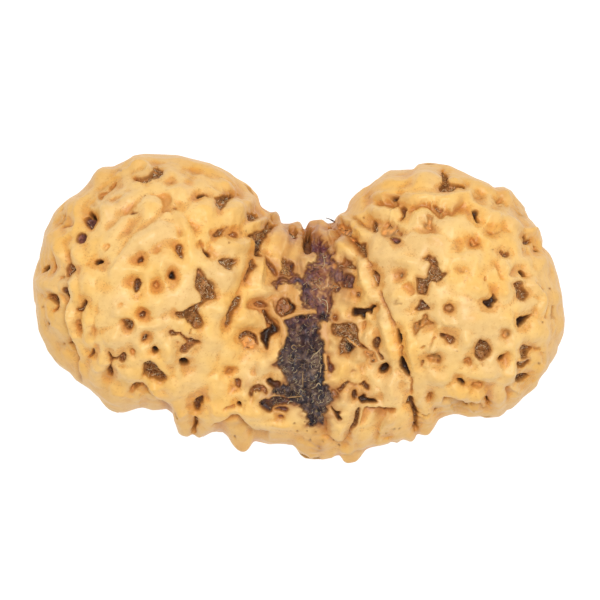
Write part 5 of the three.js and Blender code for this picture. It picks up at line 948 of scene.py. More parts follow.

# %% Patches inside the scar
# The near-black patches are painted shade in deep pockets, and the thin one at (0.4, -0.58) is a painted
# shadow under the ridge that bridges the scar.
SCAR_PATCHES = [
    ["#6b2f36", 0.7, 1.5, 4.5, 0.5, 0.6], ["#d08a48", 0.85, 2.38, 3.2, 0.2, 0.2],
    ["#d08a48", 0.8, 2.55, 1.7, 0.3, 0.28], ["#1c1a26", 0.85, 0.5, 1.55, 0.4, 0.3],
    ["#120d10", 0.85, 1.65, -0.55, 0.4, 0.3], ["#0f0b0d", 0.9, 1.3, -1.45, 0.15, 0.5],
    ["#1e1c2a", 0.85, 0.25, -1.35, 0.3, 0.3], ["#0e0b0d", 0.9, 0.25, -3.85, 0.28, 0.15],
    ["#1c1b28", 0.85, 0.35, -5.8, 0.18, 0.4], ["#b06a34", 0.8, 0.45, -0.2, 0.7, 0.16],
    ["#120d10", 0.85, 0.4, -0.58, 0.7, 0.09], ["#14121c", 0.8, -0.62, 2.98, 0.2, 0.25],
    ["#5c4452", 0.6, 0.5, 1, 0.35, 0.7], ["#4a4456", 0.6, -0.1, 1.95, 0.4, 0.25],
    ["#a86a3a", 0.6, 2, 0.3, 0.2, 0.8], ["#8a4a3a", 0.5, 1.5, 2.6, 0.6, 0.7],
    ["#191720", 0.7, -0.4, -6.3, 0.7, 0.4], ["#5a3a34", 0.5, 0.3, -2.6, 0.6, 0.4],
    ["#cbb48c", 0.8, 1.15, -4.9, 0.07, 0.07], ["#d8cbb0", 0.85, 0.2, -5.5, 0.06, 0.06],
    ["#d8cbb0", 0.85, -1.25, -3.75, 0.06, 0.06], ["#d8cbb0", 0.85, -0.75, -3.45, 0.06, 0.06],
    ["#c9ae7c", 0.8, 1.2, -7.4, 0.12, 0.17],
]

# %% Bare wood with streaks of grain: strength, x, y, the radius along the grain and across it, and its turn
BARE_WOOD = [
    [0.65, 1.2, 5.5, 1.1, 0.65, 90], [0.6, -0.9, 4.9, 1.8, 0.9, 75], [0.55, 0.1, 3, 1.2, 0.5, 95],
    [0.6, 2.3, 4.2, 1.3, 0.4, 100], [0.5, -1.4, 1.6, 0.8, 0.6, 20], [0.6, 1.85, -1.9, 1.3, 0.3, 92],
    [0.6, -0.5, -0.4, 1.1, 0.3, -15], [0.5, 1.9, -4.2, 1, 0.3, 90], [0.45, 3.2, -1.6, 1, 0.8, 30],
    [0.45, 3.3, 0.9, 0.8, 0.9, 80], [0.4, -1.2, -4.9, 0.5, 0.6, 90], [0.45, 3.4, 5, 1.2, 0.5, -50],
]

# %% Small brown specks in the pores: x and y
SPECKS = pairs([
    0.35, -8.1, -0.15, -8.75, 0.5, -8.75, 1.15, -8.8, 2.8, -9.9, 2.45, -9.5, -0.3, -8.2, 1.7, -9.35, 0.75,
    -9.25, 7.1, -8.6, 6.75, -8.65, -5.16, 4.59, -5.05, 5.85, -4.55, 5.85, -4.15, 5.8, -3.7, 5.55, -4.05,
    5.35, -3.9, 6.1, 4.5, 6.5, 12.7, 7.9, -4.6, -9.3, -3.85, -6.6, 17.7, 1.4, 17.05, -1, 16.8, -3.85, 13.7,
    4.2, -18.3, 0.1, -10.85, 8.05, 11.1, -3.05,
])

# %% [markdown]
# The back and the sides of the seed follow the same pattern, but nobody has seen them here. So a rule places
# their holes, and between them run the seam where the stones joined and the grooves of each lobe.

# %% Sizes on the unseen sides, in mm
BED_DEPTH = 1.05
SEAM = {"x": 0.6, "depth": 0.9, "half_width": 0.5}
MERIDIANS = 7  # grooves round each lobe
MERIDIAN = {"depth": 0.6, "half_width": 0.32, "wander": 0.06}
UNSEEN = {"tries": 2400, "spacing": 2.1, "steepest": 0.33, "clear": 1.3}
SLIT = {"radius": 0.36, "radius_power": 1, "length": 0.9, "length_power": 0.5}
PORE = {"radius": 0.3, "radius_power": 2, "length": 0.5, "length_power": 2.0}
SLITS = 0.8  # a draw above this makes a slit, and any other a pore
PLASTIC = 1.324717957244746  # its powers spread tries evenly over a surface
STRAIGHT = 0.39  # share of the grid's length that runs along the spine
CLEAR_OF = pairs([  # openings of the face that lie so near its rim that no hidden hole may touch them
    -17.85, -1.05, 18.3, 0, -7.6, -8.9, 0.45, 6.3, 8.35, -8.8, -5.6, -8.8, -15.7, -4.3, -15.5, -5.1,
    14.7, -6.3, 14.7, -7.1, 13.5, -7, 9.55, -7.4,
])
REST_KNOB = {"at": (0.6, -5.6), "radius": 1.7, "height": 0.75}
FLAT_ZONE = 0.12  # the worn spots that the seed lies on have no holes


# %% Holes on the sides and the back: tries in a fixed order, and each one kept that is clear of the others
def chain(points, **values):
    middle = (points.min(axis=0) + points.max(axis=0)) / 2.0
    reach = np.linalg.norm(points - middle, axis=1).max() + 4.0 * values["r"]
    return {"points": points, "middle": middle, "reach": reach, **values}


def unseen_holes():
    front = on_face(CLEAR_OF)
    i = np.arange(1, UNSEEN["tries"] + 1)
    along = frac(0.5 + i / PLASTIC) * 2.0 - 1.0
    turn = frac(0.5 + i / PLASTIC**2) * 2.0 * math.pi
    lift = np.maximum(np.abs(along) - STRAIGHT, 0.0) / (1.0 - STRAIGHT)
    tilt = np.arcsin(lift) * np.sign(along)
    out = np.column_stack([np.sin(tilt), np.cos(tilt) * np.cos(turn), np.cos(tilt) * np.sin(turn)])
    at = cast(spine(np.clip(along / STRAIGHT, -1.0, 1.0)), out)
    normal = form_normal(at)
    kept = []
    holes = []
    for k, (p, n) in enumerate(zip(at, normal), start=1):
        if n[2] > UNSEEN["steepest"] or p[2] < FLAT_ZONE:
            continue
        gap = UNSEEN["spacing"] * (0.75 + 0.6 * draw(k, 1))
        if kept and np.linalg.norm(np.array(kept) - p, axis=1).min() < gap:
            continue
        if np.linalg.norm(front - p, axis=1).min() < UNSEEN["clear"]:
            continue
        kept.append(p)
        big = draw(k, 2) > SLITS
        size = SLIT if big else PORE
        r = size["radius"] + 0.2 * draw(k, 3) ** size["radius_power"]
        side = np.cross([draw(k, 4) - 0.5, draw(k, 5) - 0.5, draw(k, 6) - 0.5], n)
        side = side / np.linalg.norm(side)
        length = size["length"] * draw(k, 7) ** size["length_power"]
        depth = BED_DEPTH if big else 0.5 + 0.9 * draw(k, 8)
        # the deeper a hole, the darker the kind of bed it gets: partly its own colour, partly painted shade
        kind = "black" if depth > 1.25 else ("fibre" if big or depth > 0.8 else "tan")
        holes.append(chain(np.array([p + side * length, p - side * length]), r=r, depth=depth, kind=kind))
    return holes


knobs = [chain(on_face([x, y]), r=r, height=height) for x, y, r, height in KNOBS]
knobs.append(chain(on_face(REST_KNOB["at"], -1.0), r=REST_KNOB["radius"], height=REST_KNOB["height"]))
hidden = unseen_holes()
print("openings on the face:", len(OPENINGS), "- on the sides and the back:", len(hidden))


# %% [markdown]
# ## A fine grid round the seed
# A grid is wrapped round the spine as on a capsule: rows that run round it, closed by one point at each end.
# The face gets the closest rows, since the detail is there.

# %% A capsule-like grid of places
ROW_STEP = 0.07  # mm between rows along the spine
RING_STEP = 0.07  # mm between points round the face
BACK_STEP = 0.19  # mm between points round the back
CAP_LENGTH = 14.5  # mm over a lobe's end, from the spine's end to the lobe's tip
MIDDLE_LENGTH = 20.5  # mm along the spine
LOBE_RADIUS = 9.0


def grid_places():
    cap = round(CAP_LENGTH / ROW_STEP)
    middle = round(MIDDLE_LENGTH / ROW_STEP)
    tilt = np.concatenate([
        np.linspace(-math.pi / 2.0, 0.0, cap, endpoint=False)[1:],
        np.zeros(middle + 1),
        np.linspace(0.0, math.pi / 2.0, cap + 1)[1:-1],
    ])
    s = np.concatenate([np.full(cap - 1, -1.0), np.linspace(-1.0, 1.0, middle + 1), np.full(cap - 1, 1.0)])
    half_turn = math.pi * LOBE_RADIUS
    front = np.linspace(0.0, math.pi, round(half_turn / RING_STEP), endpoint=False)
    back = np.linspace(math.pi, 2.0 * math.pi, round(half_turn / BACK_STEP), endpoint=False)
    turn = np.concatenate([front, back])
    rows, columns = len(tilt), len(turn)
    t = np.repeat(tilt, columns)
    f = np.tile(turn, rows)
    out = np.column_stack([np.sin(t), np.cos(t) * np.cos(f), np.cos(t) * np.sin(f)])
    start = spine(np.repeat(s, columns))
    ends = spine(np.array([-1.0, 1.0]))
    start = np.vstack([start, ends])
    out = np.vstack([out, [[-1.0, 0.0, 0.0], [1.0, 0.0, 0.0]]])
    return start, out, rows, columns, len(front)


def grid_faces(rows, columns):
    i = np.arange(rows - 1)[:, None] * columns
    j = np.arange(columns)[None, :]
    k = (j + 1) % columns
    quads = np.stack([i + j, i + k, i + columns + k, i + columns + j], axis=-1).reshape(-1, 4)
    first, last = rows * columns, rows * columns + 1
    ring = np.arange(columns)
    after = (ring + 1) % columns
    top = (rows - 1) * columns
    left_fan = np.column_stack([np.full(columns, first), after, ring])
    right_fan = np.column_stack([np.full(columns, last), top + ring, top + after])
    return quads, np.vstack([left_fan, right_fan])


start, out, rows, columns, half = grid_places()
skin = cast(start, out)
normal = form_normal(skin)
print("grid:", rows, "rows of", columns, "points,", half, "of them round the face")


# %% [markdown]
# ## The ground under the net
# The seed isn't a smooth ball under its net. It swells, and knobs stand out of its edge. Noise gives the
# swells and a table the knobs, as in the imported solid. Then the edge is moved the last tenths of a
# millimetre, until it runs along the real seed's outline: two lines of the grid are the edge, and the rows
# between share their move.

# %% Swells, knobs and small lumps
SWELLING = ((0.28, 3.4), (0.12, 1.6), (0.035, 0.7))  # height and length of each size of swell, in mm
KNOB_FOOT = 1.7  # how far a knob's foot reaches, in its own radii
LUMPS = 0.22  # mm


def near(p, feature):
    return np.nonzero(((p - feature["middle"]) ** 2).sum(axis=1) < feature["reach"] ** 2)[0]


def ground_height(p):
    height = sum(share * noise(p / length) for share, length in SWELLING)
    for knob in knobs:
        i = near(p, knob)
        reach = chain_distance(p[i], knob["points"]) / (KNOB_FOOT * knob["r"])
        height[i] += knob["height"] * (1.0 - ease(reach))
    w = p + 0.3 * noises(p / 0.9, [0, 3, 7], [11, 0, 0], [0, 5, 0])
    lumps = 0.3 - np.abs(noise(w / 1.5 + [2, 8, 4])) + 0.5 * (0.3 - np.abs(noise(w / 0.8 + [9, 1, 3])))
    return height + LUMPS * lumps


# %% The edge, moved onto the real outline
MOST_MOVED = 1.2  # mm; a crossing that is farther off belongs to another part of the outline
EDGE_BANDS = ([-0.5, 0.5], [0.4, 0.2])  # a dent in the rim runs farther up and down the side than a knob
EDGE_SMOOTHING = (0.1, 0.2, 0.4, 0.2, 0.1)  # shares of five rows that follow each other


def out_to_outline(at, way, usual):
    """How far each point goes along its way to the outline, at the crossing nearest to its usual height."""
    best = np.full(len(at), np.inf)
    for a, b in zip(OUTLINE, np.roll(OUTLINE, -1, axis=0)):
        link = b - a
        to = a - at
        turned = way[:, 0] * link[1] - way[:, 1] * link[0]
        turned = np.where(np.abs(turned) < 1e-9, 1e-9, turned)
        t = (to[:, 0] * link[1] - to[:, 1] * link[0]) / turned
        share = (to[:, 0] * way[:, 1] - to[:, 1] * way[:, 0]) / turned
        hit = (share >= 0.0) & (share <= 1.0) & (np.abs(t - usual) < np.abs(best - usual))
        best = np.where(hit, t, best)
    return best


def edge_targets(height):
    """The height that puts each row's two edge points on the outline."""
    targets = []
    for line in (0, half):
        i = np.arange(rows) * columns + line
        target = out_to_outline(skin[i, :2], normal[i, :2], height[i])
        target = np.where(np.abs(target - height[i]) < MOST_MOVED, target, height[i])
        targets.append(np.convolve(np.pad(target, 2, mode="edge"), EDGE_SMOOTHING, mode="valid"))
    return targets


def edge_height(height):
    """What to add so that the rim runs along the outline. It fades out up and down the side."""
    top, bottom = edge_targets(height)
    way = out[:-2].reshape(rows, columns, 3)
    share = 0.5 + 0.5 * way[:, :, 1] / np.maximum(np.hypot(way[:, :, 0], way[:, :, 1]), 1e-6)
    target = top[:, None] * share + bottom[:, None] * (1.0 - share)
    band = np.exp(-((way[:, :, 2] / np.interp(target, *EDGE_BANDS)) ** 2))
    added = band * (target - height[:-2].reshape(rows, columns))
    print("rim moved by", round(added.min(), 2), "to", round(added.max(), 2), "mm")
    return np.concatenate([added.ravel(), [added[0].mean(), added[-1].mean()]])


ground = ground_height(skin)
rim_move = edge_height(ground)
seen = skin + normal * (ground + rim_move)[:, None]  # where each point lies before anything is carved
print("ground from", round(ground.min(), 2), "to", round(ground.max(), 2), "mm over the smooth form")

# %% [markdown]
# ## The relief
# A displacement texture could carve the holes, but a picture would have to be painted for it. Here rules say
# how far the real surface stands above or below the ground at each point, and the same pass lays the colour
# of what is there: bed, lining, scar or worn skin, with painted shade under ledges, in creases and round the
# openings. The finish reads those colours later.

# %% Colour laid on the grid, one coat over another
def linear(code):
    """An sRGB hex colour as linear RGBA."""
    channels = [int(code[i:i + 2], 16) / 255.0 for i in (1, 3, 5)]
    return [c / 12.92 if c <= 0.04045 else ((c + 0.055) / 1.055) ** 2.4 for c in channels] + [1.0]


class Coat:
    """Colour on each point and how far it hides the plain skin."""

    def __init__(self, count):
        self.colour = np.zeros((count, 3))
        self.cover = np.zeros(count)

    def lay(self, i, code, weight):
        colour = np.array(linear(code)[:3])
        self.colour[i] = self.colour[i] * (1.0 - weight)[:, None] + colour * weight[:, None]
        self.cover[i] = self.cover[i] * (1.0 - weight) + weight

    def lay_each(self, i, colours, weight):
        self.colour[i] = self.colour[i] * (1.0 - weight)[:, None] + colours * weight[:, None]
        self.cover[i] = self.cover[i] * (1.0 - weight) + weight


def blend(value, *stops):
    """A colour for each value, between the stops' hex colours."""
    places = [place for place, _ in stops]
    colours = np.array([linear(code)[:3] for _, code in stops])
    return np.column_stack([np.interp(value, places, colours[:, k]) for k in range(3)])


# %% What the face is carved with, by where each point lies in the picture
EDGE = 0.15  # how far a wall slopes from the rim to the bed, in mm
OPENING_DEPTH = 0.75  # share of the depth in the table that the net's own thickness leaves
RAGGED = {"by": 0.07, "length": 0.45}  # how far and over what length a torn edge strays, in mm
FRAYED = {"by": 0.035, "length": 0.16}
FUR = 0.09  # fibre starts this far inside an opening's outline
UNDER_RIM = 0.55  # relief runs on under the rim until the skin leans back by this much
face = np.nonzero(normal[:, 2] > -UNDER_RIM)[0]
lean = normal[face, 2]
q = seen[face, :2]
p3 = seen[face]
ragged = noises(p3 / RAGGED["length"], [3, 0, 7], [13, 5, 0])
fine = noises(p3 / FRAYED["length"], [1, 9, 7], [4, 5, 2])
q = q + RAGGED["by"] * ragged + FRAYED["by"] * fine
count = len(q)
rise = np.zeros(count)  # what stands on the ground
depth = np.zeros(count)  # what is cut into it
fibre = np.zeros(count)
dark_strands = np.zeros(count)
coat = Coat(count)


def window(points, margin):
    low, high = points.min(axis=0) - margin, points.max(axis=0) + margin
    return np.nonzero((q[:, 0] > low[0]) & (q[:, 0] < high[0]) & (q[:, 1] > low[1]) & (q[:, 1] < high[1]))[0]


def bump(distance, width):
    return np.exp(-((distance / width) ** 2))


def patch_weight(x, y, long, short, turn=0):
    i = window(np.array([[x, y]]), 1.6 * max(long, short))
    c, s = math.cos(math.radians(turn)), math.sin(math.radians(turn))
    d = q[i] - [x, y]
    u = (d[:, 0] * c + d[:, 1] * s) / long
    v = (d[:, 1] * c - d[:, 0] * s) / short
    return i, 1.0 - ease(np.hypot(u, v) / 1.3)


# %% Coats of wax, wear and painted shade
for code, strength, *place in PATCHES:
    i, weight = patch_weight(*place)
    coat.lay(i, code, strength * weight * clamp01(0.75 + 0.6 * noise(p3[i] / 0.5)))

for strength, x, y, long, short, turn in BARE_WOOD:
    i, weight = patch_weight(x, y, long, short, turn)
    c, s = math.cos(math.radians(turn)), math.sin(math.radians(turn))
    d = q[i] - [x, y]
    u, v = d[:, 0] * c + d[:, 1] * s, d[:, 1] * c - d[:, 0] * s
    streak = noise(np.column_stack([u / 1.1, v / 0.11, np.full(len(i), x)]))
    streak += 0.6 * noise(np.column_stack([u / 0.5, v / 0.2, np.full(len(i), y)]))
    tint = blend(0.5 + 0.4 * streak, (0.1, "#8a4f2a"), (0.4, "#c4803f"), (0.7, "#e3ab66"), (1.0, "#f0c283"))
    coat.lay_each(i, tint, strength * clamp01(1.5 * weight))
    rise[i] += 0.05 * streak * weight * strength

# %% Swells, ridges, folds and creases
SWELL_SHARE = 1.35  # of the height in the table that a lump gets
HOLLOW_SHARE = 0.7
FOLD_STEP = 0.18  # mm over which a sharp ledge drops
TAPER = 0.5  # mm at each end of a ledge, where it fades out
FINE_CREASE = 0.15  # mm; a narrower crease gets a line of painted shade, and a wider one is a soft valley with plain skin in it

for height, *place in SWELLS:
    i, weight = patch_weight(*place)
    rise[i] += (SWELL_SHARE if height > 0.0 else HOLLOW_SHARE) * height * weight

for height, r, *flat in RIDGES:
    points = pairs(flat)
    i = window(points, 2.5 * r)
    distance, along = side_and_share(q[i], points)
    rise[i] += height * bump(distance, r)

for drop, reach, *flat in FOLDS:
    points = pairs(flat)
    i = window(points, 2.5 * reach)
    distance, along = side_and_share(q[i], points)
    length = np.linalg.norm(np.diff(points, axis=0), axis=1).sum()
    taper = ease(along * length / TAPER) * ease((1.0 - along) * length / TAPER)
    step = FOLD_STEP if drop > 0.3 else 2.5 * FOLD_STEP
    low = ease(distance / step + 0.5) * np.exp(-np.maximum(distance, 0.0) / reach)
    lip = bump(np.minimum(distance + 0.25, 0.0) * (distance < -0.25) + np.maximum(distance + 0.25, 0.0), 0.3)
    rise[i] += taper * drop * (0.18 * lip - low)
    # painted shade: brown along the foot of each high ledge, on its low side
    coat.lay(i, "#a8682c", clamp01(1.5 * drop - 0.35) * taper * bump(distance - 0.1, 0.13))

for drop, width, *flat in CREASES:
    points = pairs(flat)
    i = window(points, 3.0 * width)
    distance, along = side_and_share(q[i], points)
    taper = ease(along / 0.15) * ease((1.0 - along) / 0.15)
    rise[i] -= drop * taper * bump(distance, width)
    # painted shade: a brown line along the bottom of each narrow crease
    coat.lay(i, "#9a5f2a", 0.5 * taper * bump(distance, 0.8 * width) * (width < FINE_CREASE))

for x, y in SPECKS:
    i, weight = patch_weight(x, y, 0.1, 0.09, 0)
    depth[i] = np.maximum(depth[i], 0.12 * weight)
    coat.lay(i, "#84461a", 0.85 * weight)

# %% Openings
SCAR_MIDDLE = 0.8  # mm along x
STAINED = 3.2  # mm; how far from there the sap has stained the openings' edges
PALE = ("orange", "tan", "grey", "straw")
DARK = ("black", "purple", "blue")

for kind, deep, *flat in OPENINGS:
    code, share, funnel, width = KINDS[kind]
    corners = rounded(rounded(pairs(flat)))
    i = window(corners, 2.2 * width + 0.1)
    distance = outline_distance(q[i], corners)
    edge = 1.8 * EDGE if kind == "dent" else EDGE
    wall = 1.0 - ease(distance / edge + 0.75)
    sunk = funnel * ease(lean[i] / 0.35) * bump(np.maximum(distance, 0.0), width)
    depth[i] = np.maximum(depth[i], OPENING_DEPTH * deep * wall + sunk)
    if kind == "dent":
        coat.lay(i, code, 0.45 * wall)
        continue
    by_scar = bump(q[i, 0] - SCAR_MIDDLE, STAINED)
    stain = clamp01(0.6 + 0.8 * noise(p3[i] / 0.4 + [4, 4, 9]))
    # painted shade: a warm brown ring just outside each opening, where the skin runs down into it
    coat.lay(i, "#c98f4e", 0.35 * bump(np.maximum(distance, 0.0), 0.14))
    coat.lay(i, "#ad6430", 0.65 * by_scar * stain * bump(np.maximum(distance, 0.0), 0.32))
    lining = 0.4 if kind in PALE else 0.8
    coat.lay(i, "#b06f34", lining * ease(-distance / 0.07 + 0.2))
    inside = ease((-distance - 0.02) / 0.1)
    worn = clamp01(0.5 + 0.6 * noise(p3[i] / 0.2 + [7, 7, 1]))
    tangled = clamp01(0.5 + 0.9 * noise(p3[i] / 0.33 + [2, 9, 4]))
    # painted shade: the bed darkens towards the middle of an opening, less where fibre is tangled
    core = ease((-distance - 0.12) / 0.4)
    bed = np.array(linear(code)[:3]) * ((0.4 + 1.3 * worn) * (1.0 - 0.5 * core * (1.0 - tangled)))[:, None]
    coat.lay_each(i, bed, inside)
    fibre[i] = np.maximum(fibre[i], share * (distance < -FUR) * (0.2 + 1.1 * tangled))
    # strands in black openings take the scar's dark colours as painted shade; in purple and blue ones it is
    # their own colour
    if kind in DARK:
        dark_strands[i] = np.maximum(dark_strands[i], distance < 0.0)
print("face:", count, "points;", len(OPENINGS), "openings,", len(FOLDS), "folds,", len(SWELLS), "swells")

# %% The scar: a torn, lumpy strip whose colour runs in streaks
SCAR_DEPTH = 0.7
STREAK = (0.22, 1.3)  # mm across the strip and along it
UPPER_SCAR = ((0.05, "#38232a"), (0.3, "#654048"), (0.5, "#86594e"), (0.72, "#b07a4c"), (1.0, "#dcac72"))
LOWER_SCAR = ((0.05, "#252026"), (0.3, "#4b3f42"), (0.5, "#725c54"), (0.75, "#9c8068"), (1.0, "#dcc8a0"))
i = window(SCAR, 1.2)
torn = q[i] + 0.2 * ragged[i] + 0.1 * fine[i]
distance = outline_distance(torn, SCAR)
cover = 1.0 - ease(distance / 0.3 + 0.5)
scar = np.zeros(count)
scar[i] = ease(-distance / 0.15 + 0.3)
streaks = noise(np.column_stack([q[i] / STREAK, np.zeros(len(i))]))
lumps = noise(p3[i] / 0.42 + [6, 2, 1])
crumbs = noise(p3[i] / 0.13 + [2, 5, 8])
low_half = ease((1.0 - q[i, 1]) / 5.0)
value = 0.48 + 0.25 * lumps + 0.22 * streaks + 0.3 * crumbs - 0.12 * low_half
bed = blend(value, *UPPER_SCAR) * (1.0 - low_half)[:, None] + blend(value, *LOWER_SCAR) * low_half[:, None]
torn_rim = bump(np.maximum(distance, 0.0), 0.5) * clamp01(0.55 + 0.9 * noise(p3[i] / 0.35 + [8, 1, 2]))
coat.lay(i, "#b5723a", 0.8 * torn_rim)
coat.lay(i, "#7a4630", 0.6 * bump(distance, 0.14))
coat.lay_each(i, bed, scar[i])
depth[i] = np.maximum(depth[i], (SCAR_DEPTH + 0.3 * lumps + 0.12 * streaks) * cover)
fibre[i] = np.maximum(fibre[i], 0.35 * (distance < -0.12) * (0.35 + 0.65 * low_half))
for code, strength, *place in SCAR_PATCHES:
    i, weight = patch_weight(*place)
    coat.lay(i, code, strength * ease(1.6 * weight) * scar[i])
print("scar:", int((scar > 0.5).sum()), "points")

# %% Ridges that bridge openings
bridge = np.zeros(count)
crest = np.zeros(count)
for height, r, *flat in BRIDGES:
    points = pairs(flat)
    i = window(points, 2.0 * r)
    distance, along = side_and_share(q[i], points)
    cover = 1.0 - ease((np.abs(distance) / r - 0.55) / 0.75)
    crest[i] = np.where(cover > bridge[i], height, crest[i])
    bridge[i] = np.maximum(bridge[i], cover)
    coat.lay(i, "#dda35c", 0.85 * ease(1.4 * cover - 0.2))
fibre *= 1.0 - bridge
depth *= 1.0 - bridge
rise += crest * bridge
print("bridges:", len(BRIDGES), "over", int((bridge > 0.5).sum()), "points")

# %% The pattern of the face fades out down the sides
rise *= 0.25 * ease((lean + UNDER_RIM) / 0.5) + 0.75 * ease((lean + 0.02) / 0.3)
depth *= ease((lean + 0.1) / 0.14)
painted = ease((lean + 0.2) / 0.2)
coat.colour *= painted[:, None]
coat.cover *= painted
print("relief from", round(rise.min(), 2), "to", round(rise.max(), 2), "mm; cut", round(depth.max(), 2))

# %% [markdown]
# ## The unseen sides
# The same grid is carved there by distance rules in space, because nothing can be read off a picture. Each
# rule fades out before it comes to the face.

# %% Holes, the join valley and the grooves on the sides and the back
def valley(distance, r, edge=0.13):
    """1 inside a radius and 0 outside it, with a steep wall between."""
    edge = min(edge, 0.45 * r)
    return 1.0 - ease((distance - r) / (2.0 * edge) + 0.5)


def meridian_groove(p, lobe):
    """Grooves in half-planes about the long axis of a lobe."""
    lean = math.radians(lobe["lean"])
    axis = np.array([-math.sin(lean), math.cos(lean), 0.0])
    across = np.array([math.cos(lean), math.sin(lean), 0.0])
    to = p - np.array(lobe["centre"])
    sideways = to @ across
    away = np.hypot(sideways, to[:, 2])
    wander = MERIDIAN["wander"] * np.sin(to @ axis * 0.7 + lobe["lean"])
    turn = np.arctan2(to[:, 2], sideways) / (2.0 * math.pi) * MERIDIANS + wander
    off = np.abs(frac(turn) - 0.5) * 2.0 * math.pi * away / MERIDIANS
    unseen = ease((0.0 - normal[:, 2]) / 0.3)
    own_side = ease((to[:, 0] * np.sign(lobe["centre"][0]) + 5.5) / 3.0)
    return MERIDIAN["depth"] * unseen * own_side * valley(off, MERIDIAN["half_width"])


WARP = 0.16  # mm by which noise bends the holes' outlines
WARP_LENGTH = 1.3
FUNNEL = 0.2  # mm; how deep the skin runs into a hole
HIGHEST_HIDDEN = 0.1  # holes whose middle faces up more than this belong to the face

bent = skin + WARP * noises(skin / WARP_LENGTH, [0, 0, 7], [13, 0, 0], [0, 19, 0])
hidden_depth = np.maximum(meridian_groove(bent, LEFT), meridian_groove(bent, RIGHT))
hidden_fibre = np.zeros(len(skin))
hidden_coat = Coat(len(skin))
i = np.nonzero(hidden_depth > 0.01)[0]
# painted shade: the grooves are browner the deeper they are cut
hidden_coat.lay(i, "#c98d48", 0.5 * hidden_depth[i] / MERIDIAN["depth"])

seam = np.abs(bent[:, 0] - SEAM["x"] + 0.5 * np.sin(skin[:, 1] * 0.8) + 0.35 * noise(skin / 1.1))
seam /= 1.0 + 0.5 * noise(skin / 1.6 + [3, 1, 4])
seam_cover = valley(seam, SEAM["half_width"]) * ease((-0.1 - normal[:, 2]) / 0.4)
hidden_depth = np.maximum(hidden_depth, SEAM["depth"] * seam_cover)
i = np.nonzero(seam_cover > 0.01)[0]
seam_bed = blend(0.5 + 0.5 * noise(skin[i] / 0.3), (0.2, "#2e1b0e"), (0.6, "#6e4727"), (0.9, "#a27a4b"))
hidden_coat.lay_each(i, seam_bed, seam_cover[i])
hidden_fibre[i] = seam_cover[i] > 0.8

for hole in hidden:
    if form_normal(hole["middle"][None, :])[0, 2] > HIGHEST_HIDDEN:
        continue
    i = near(bent, hole)
    distance = chain_distance(bent[i], hole["points"]) - hole["r"]
    code, share, _, _ = KINDS[hole["kind"]]
    funnel = FUNNEL * bump(distance + hole["r"], 1.9 * hole["r"])
    hidden_depth[i] = np.maximum(hidden_depth[i], hole["depth"] * valley(distance, 0.0001, 0.1) + funnel)
    # painted shade: a warm brown ring round each hole's rim, where the skin runs into it
    hidden_coat.lay(i, "#bd7a38", 0.5 * bump(distance - 0.03, 0.13))
    hidden_coat.lay(i, code, ease(-distance / 0.1))
    hidden_fibre[i] = np.maximum(hidden_fibre[i], share * (distance < -FUR))
out_of_view = ease((0.17 - normal[:, 2]) / 0.12)
hidden_depth *= out_of_view
hidden_fibre *= out_of_view > 0.9
hidden_coat.colour *= out_of_view[:, None]
hidden_coat.cover *= out_of_view
print("hidden side carved to", round(hidden_depth.max(), 2), "mm")

# %% Everything together
PAINTED_FLANK_SHADE = 0.42  # share of the yellower, darker tan laid on the flanks as painted shade, more as they lean away from the light above
CLEAR_OF_TABLE = 1.5  # mm; no fibre hangs out under the seed
UNSEEN_NET = 0.58  # mm; the net on the sides and the back swells by a rule
SINK = 2.2  # how much straighter than the skin's own normal the face is cut, towards the back

height = ground.copy()
height[face] += rise
unseen = ease((0.4 - normal[:, 2]) / 0.4)
net = UNSEEN_NET * (0.35 - np.abs(noise(bent / 1.5 + [4, 7, 2]))) + 0.14 * noise(bent / 0.8 + [1, 6, 3])
height += unseen * net
height += edge_height(height)
cut = hidden_depth
cut[face] = np.maximum(cut[face], depth)
notes = {"fibre": hidden_fibre, "scar": np.zeros(len(skin))}
notes["fibre"][face] = np.maximum(notes["fibre"][face], fibre) * (lean > 0.3)
notes["scar"][face] = np.maximum(scar, dark_strands)
# painted shade: the skin turns a darker, yellower tan as it leans away from the light above
flank = ease((0.85 - normal[:, 2]) / 0.6)
colour, cover = hidden_coat.colour, hidden_coat.cover
colour[face] = colour[face] * (1.0 - coat.cover)[:, None] + coat.colour
cover[face] = cover[face] * (1.0 - coat.cover) + coat.cover
flank_shade_cover = PAINTED_FLANK_SHADE * flank * (1.0 - cover)
colour += np.array(linear("#dc9c3a")[:3]) * flank_shade_cover[:, None]
cover += flank_shade_cover
paint = np.column_stack([colour, np.ones(len(skin))])
notes["cover"] = cover
floor = clamp01(cut / 0.5)
cut += floor * (0.12 * noise(seen / 0.3) + 0.06 * noise(seen / 0.13 + [5, 1, 9]))


# %% Where the skin lies in a hollow or on a crest, for the finish, which paints shade into the hollows
HOLLOW_REACH = 0.6  # mm
HOLLOW_SPAN = 0.5  # mm from the lowest hollow to the highest crest that the finish tells apart


def spread(values):
    """The mean of the values round each point of the grid."""
    sheet = values[:-2].reshape(rows, columns)
    reach = round(HOLLOW_REACH / RING_STEP)
    for axis in (0, 1):
        for _ in range(2):
            before, after = np.take(sheet, range(-reach, 0), axis), np.take(sheet, range(reach), axis)
            total = np.cumsum(np.insert(np.concatenate([before, sheet, after], axis), 0, 0.0, axis), axis)
            size = 2 * reach + 1
            count_along = sheet.shape[axis]
            last = np.take(total, range(size, size + count_along), axis)
            sheet = (last - np.take(total, range(count_along), axis)) / size
    return np.append(sheet.ravel(), values[-2:])


relief = height - np.minimum(cut, 0.2)
hollow = spread(relief) - relief
notes["hollow"] = clamp01(0.5 + hollow / HOLLOW_SPAN)
print("hollow from", np.round(np.percentile(hollow, [2, 25, 50, 75, 98]), 3), "mm")

